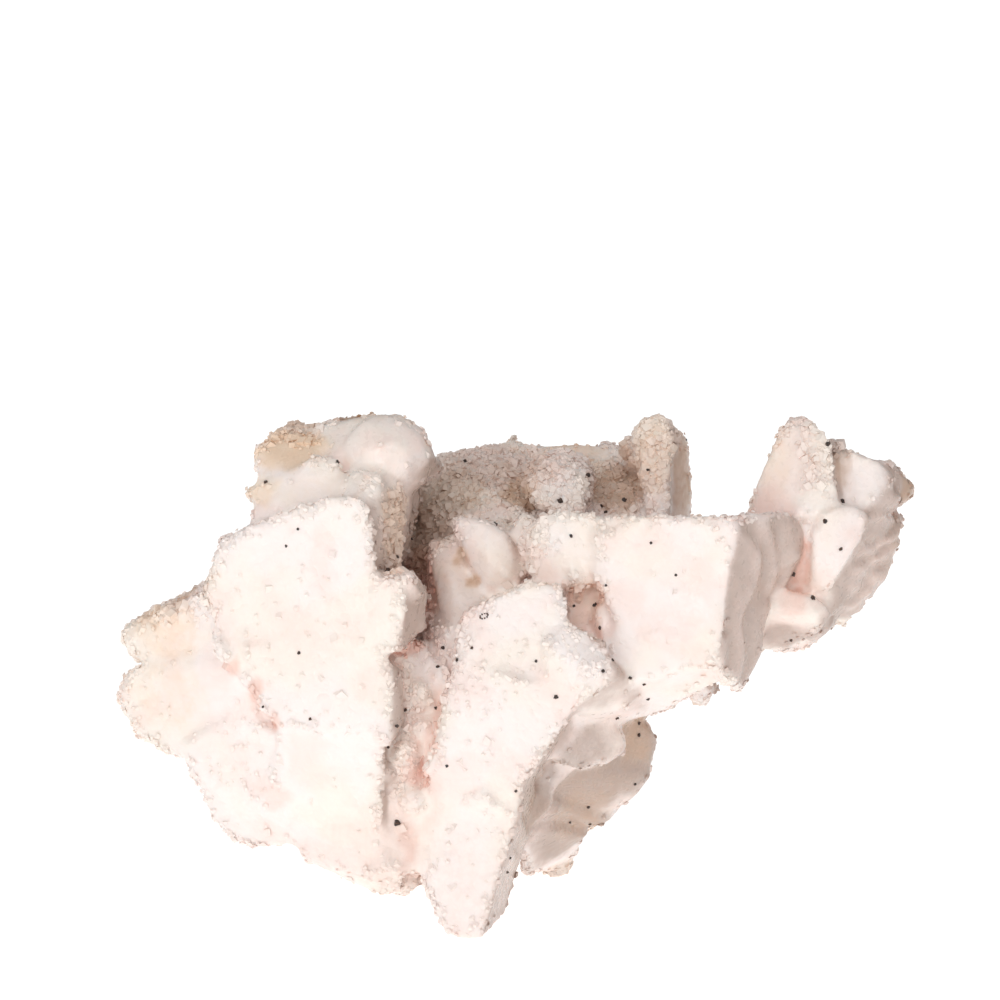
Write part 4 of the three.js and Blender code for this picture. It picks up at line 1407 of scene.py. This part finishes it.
@dataclass
class DarkGrains:
    """Grains of a dark ore mineral in the druse: lone ones, a ring of small ones, and some behind.

    The widths of the ones behind run from the first to the second number, and small ones are commoner.
    The lumps of a grain are given as their pitch and their height, where its girth is nearly 1. The
    salt and the primes give each grain its own lumps, from its place.
    """

    board: Board
    lone: tuple[Grain, ...]
    ring: Grain
    ring_radii: tuple[float, float] = (0.5, 0.3)
    ring_slant: float = 0.12
    ring_count: int = 9
    behind: int = 60
    behind_widths: tuple[float, float] = (0.35, 0.85)
    behind_lie: float = 0.1
    behind_foot: float = 2.0
    girth: float = 0.85
    lumps: tuple[float, float] = (1.6, 0.5)
    primes: tuple[int, int, int] = (97, 31, 13)
    salt: tuple[float, float] = (100.0, 10.0)
    seed: int = 9
    name: str = "dark_grains"

    def build(self, ground: Ground, carriers: list[bpy.types.Object]) -> bpy.types.Object:
        """Makes the piece.

        Args:
            ground: The skin, for the grains that the eye doesn't see.
            carriers: The pieces that the grains sit on.

        Returns:
            The piece.
        """
        graph = bpy.context.evaluated_depsgraph_get()
        trees = [BVHTree.FromObject(piece, graph) for piece in carriers]
        shape = bmesh.new()
        for grain in (*self.lone, *self.around_ring()):
            self.seat(shape, grain, trees)
        draw = np.random.default_rng(self.seed)
        least, most = self.behind_widths
        unseen = (ground.normals[:, 1] > self.behind_lie) & (ground.points[:, 2] > self.behind_foot)
        for seat in draw.choice(np.flatnonzero(unseen), self.behind, replace=False):
            width = least + (most - least) * draw.random() ** 2
            self.add(shape, Vector(ground.points[seat]) * MM, width, int(seat))
        mesh = baked(shape, self.name)
        mesh.materials.append(DarkGrainFinish().material("dark_grain"))
        piece = placed(self.name, mesh)
        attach(piece, BODY)
        log.info("%s: %d faces", self.name, len(mesh.polygons))
        return piece

    def around_ring(self) -> list[Grain]:
        """The small grains of the one that is a ring round a pit.

        Returns:
            The grains, evenly round the ring.
        """
        ring = []
        for i in range(self.ring_count):
            angle = 2 * math.pi * i / self.ring_count
            across = self.ring_radii[0] * math.cos(angle)
            up = self.ring_radii[1] * math.sin(angle) + self.ring_slant * math.cos(angle)
            ring.append(Grain(self.ring.across + across, self.ring.up + up, self.ring.width))
        return ring

    def seat(self, shape: bmesh.types.BMesh, grain: Grain, trees: list[BVHTree]) -> None:
        """Puts a grain on the first thing that the eye meets at its place.

        Args:
            shape: What the grain is added to.
            grain: The grain.
            trees: The pieces that it may sit on.
        """
        way = self.board.sight(grain.across, grain.up)
        hits = [tree.ray_cast(self.board.eye, way) for tree in trees]
        met = [(hit[3], hit[0]) for hit in hits if hit[0] is not None]
        if not met:
            log.warning("no crystal behind the grain at %.1f, %.1f", grain.across, grain.up)
            return
        salt = int(abs(grain.across * self.salt[0]) + abs(grain.up * self.salt[1]))
        self.add(shape, min(met)[1], grain.width, salt)

    def add(self, shape: bmesh.types.BMesh, at: Vector, width: float, salt: int) -> None:
        """Adds a lumpy grain.

        Args:
            shape: What it is added to.
            at: Its middle.
            width: How wide it is, in millimetres.
            salt: Makes its lumps its own.
        """
        made = bmesh.ops.create_icosphere(shape, subdivisions=2, radius=width / 2 * MM)
        drift = Vector([salt % prime for prime in self.primes])
        pitch, height = self.lumps
        for vertex in made["verts"]:
            unit = vertex.co.normalized()
            vertex.co *= self.girth + height * noise.noise(unit * pitch + drift)
            vertex.co += at


# The grains are set out in steps on a square view of the board, from its top left. These are the
# millimetres in a step, and where the front foot stands.
VIEW_STEP = 0.125
VIEW_FOOT = (518, 946)


def in_view(x: float, y: float, width: float) -> Grain:
    """A grain from its steps from the left, its steps from the top, and its width in steps."""
    return Grain((x - VIEW_FOOT[0]) * VIEW_STEP, (VIEW_FOOT[1] - y) * VIEW_STEP, width * VIEW_STEP)


LONE_GRAINS: tuple[Grain, ...] = tuple(
    in_view(*row)
    for row in (
        (298, 529, 3.6), (286, 546, 3.2), (299, 653, 4.6), (310, 719, 3.8), (263, 707, 3.4),
        (266, 482, 4.6), (337, 462, 5.4), (388, 571, 6.6), (411, 539, 4.4), (397, 557, 4.6),
        (465, 461, 4.6), (472, 648, 3.6), (457, 660, 4.4), (443, 648, 4.6), (438, 667, 4.6),
        (405, 710, 4.2), (436, 708, 4.2), (397, 726, 4.2), (388, 747, 4.2), (397, 823, 8.2),
        (447, 766, 3.6), (556, 697, 5.2), (536, 661, 3.4), (516, 791, 3.6), (571, 536, 4.2),
        (560, 501, 7.0), (588, 475, 6.0), (624, 500, 6.4), (601, 506, 4.6), (606, 512, 4.6),
        (648, 470, 4.2), (606, 586, 3.8), (595, 605, 5.4), (574, 606, 3.6), (600, 628, 4.6),
        (603, 671, 4.2), (630, 678, 4.2), (644, 684, 4.2), (648, 699, 4.2), (617, 718, 4.6),
        (639, 723, 4.2), (639, 735, 4.6), (635, 784, 4.0), (588, 807, 4.2), (590, 824, 4.0),
        (570, 822, 3.6), (507, 872, 3.8), (510, 858, 3.6), (651, 543, 3.4), (676, 575, 3.4),
        (825, 521, 5.4), (841, 549, 4.6), (842, 501, 6.4), (828, 444, 5.4), (793, 574, 6.0),
        (813, 598, 6.4), (791, 640, 4.2),
    )
)
RING_GRAIN: Grain = in_view(484, 616, 2.2)


# ---------------------------------------------------------------- the studio


@dataclass(frozen=True)
class Lamp:
    """A large soft disk of light, turned to the specimen. Angles are degrees from straight in front."""

    name: str
    power: float
    size: float
    distance: float
    azimuth: float
    height: float
    aim: float = 0.035

    def hang(self) -> None:
        """Makes the lamp."""
        data = bpy.data.lights.new(self.name, "AREA")
        data.shape = "DISK"
        data.size = self.size
        data.energy = self.power
        lamp = placed(self.name, data)
        azimuth = math.radians(self.azimuth)
        height = math.radians(self.height)
        level = math.cos(height)
        way = Vector((math.sin(azimuth) * level, -math.cos(azimuth) * level, math.sin(height)))
        lamp.location = way * self.distance + Vector((0, 0, self.aim))
        lamp.rotation_euler = way.to_track_quat("Z", "Y").to_euler()


@dataclass
class Studio:
    """A plain white floor, two large soft lights in front, and even light from all round."""

    floor_width: float = 14.0
    room: float = 0.42
    lamps: tuple[Lamp, ...] = (
        Lamp("key", power=4.9, size=0.9, distance=1.5, azimuth=-27.0, height=14.0),
        Lamp("fill", power=9.8, size=1.8, distance=2.2, azimuth=2.0, height=42.0),
    )

    def build(self) -> None:
        """Makes the floor and the lights."""
        self.floor()
        for lamp in self.lamps:
            lamp.hang()
        self.air()

    def floor(self) -> None:
        """Makes the floor."""
        shape = bmesh.new()
        bmesh.ops.create_grid(shape, x_segments=2, y_segments=2, size=self.floor_width / 2)
        mesh = baked(shape, "floor")
        mesh.materials.append(FloorFinish().material("floor_white"))
        piece = placed("floor", mesh)

    def air(self) -> None:
        """Makes the even light from all round, and shows colours as they are."""
        world = bpy.data.worlds.new("air")
        world.use_nodes = True
        background = world.node_tree.nodes["Background"]
        background.inputs["Color"].default_value = (1.0, 1.0, 1.0, 1.0)
        background.inputs["Strength"].default_value = self.room
        bpy.context.scene.world = world
        bpy.context.scene.view_settings.view_transform = "Standard"


def main() -> None:
    """Builds the specimen and its studio."""
    logging.basicConfig(level=logging.INFO, format="%(name)s: %(message)s")
    board = Board()
    board.camera()
    Studio().build()
    body, ground = CrystalBody(board).build()
    finish = CarbonateFinish(subsurface=0.0).material("carbonate_druse")
    carriers = [body]
    for coat in (FaceDruse(), EdgeDruse(), CoarseDruse()):
        piece = coat.build(ground)
        piece.data.materials.append(finish)
        carriers.append(piece)
    DarkGrains(board, LONE_GRAINS, RING_GRAIN).build(ground, carriers)


if __name__ == "__main__":
    main()
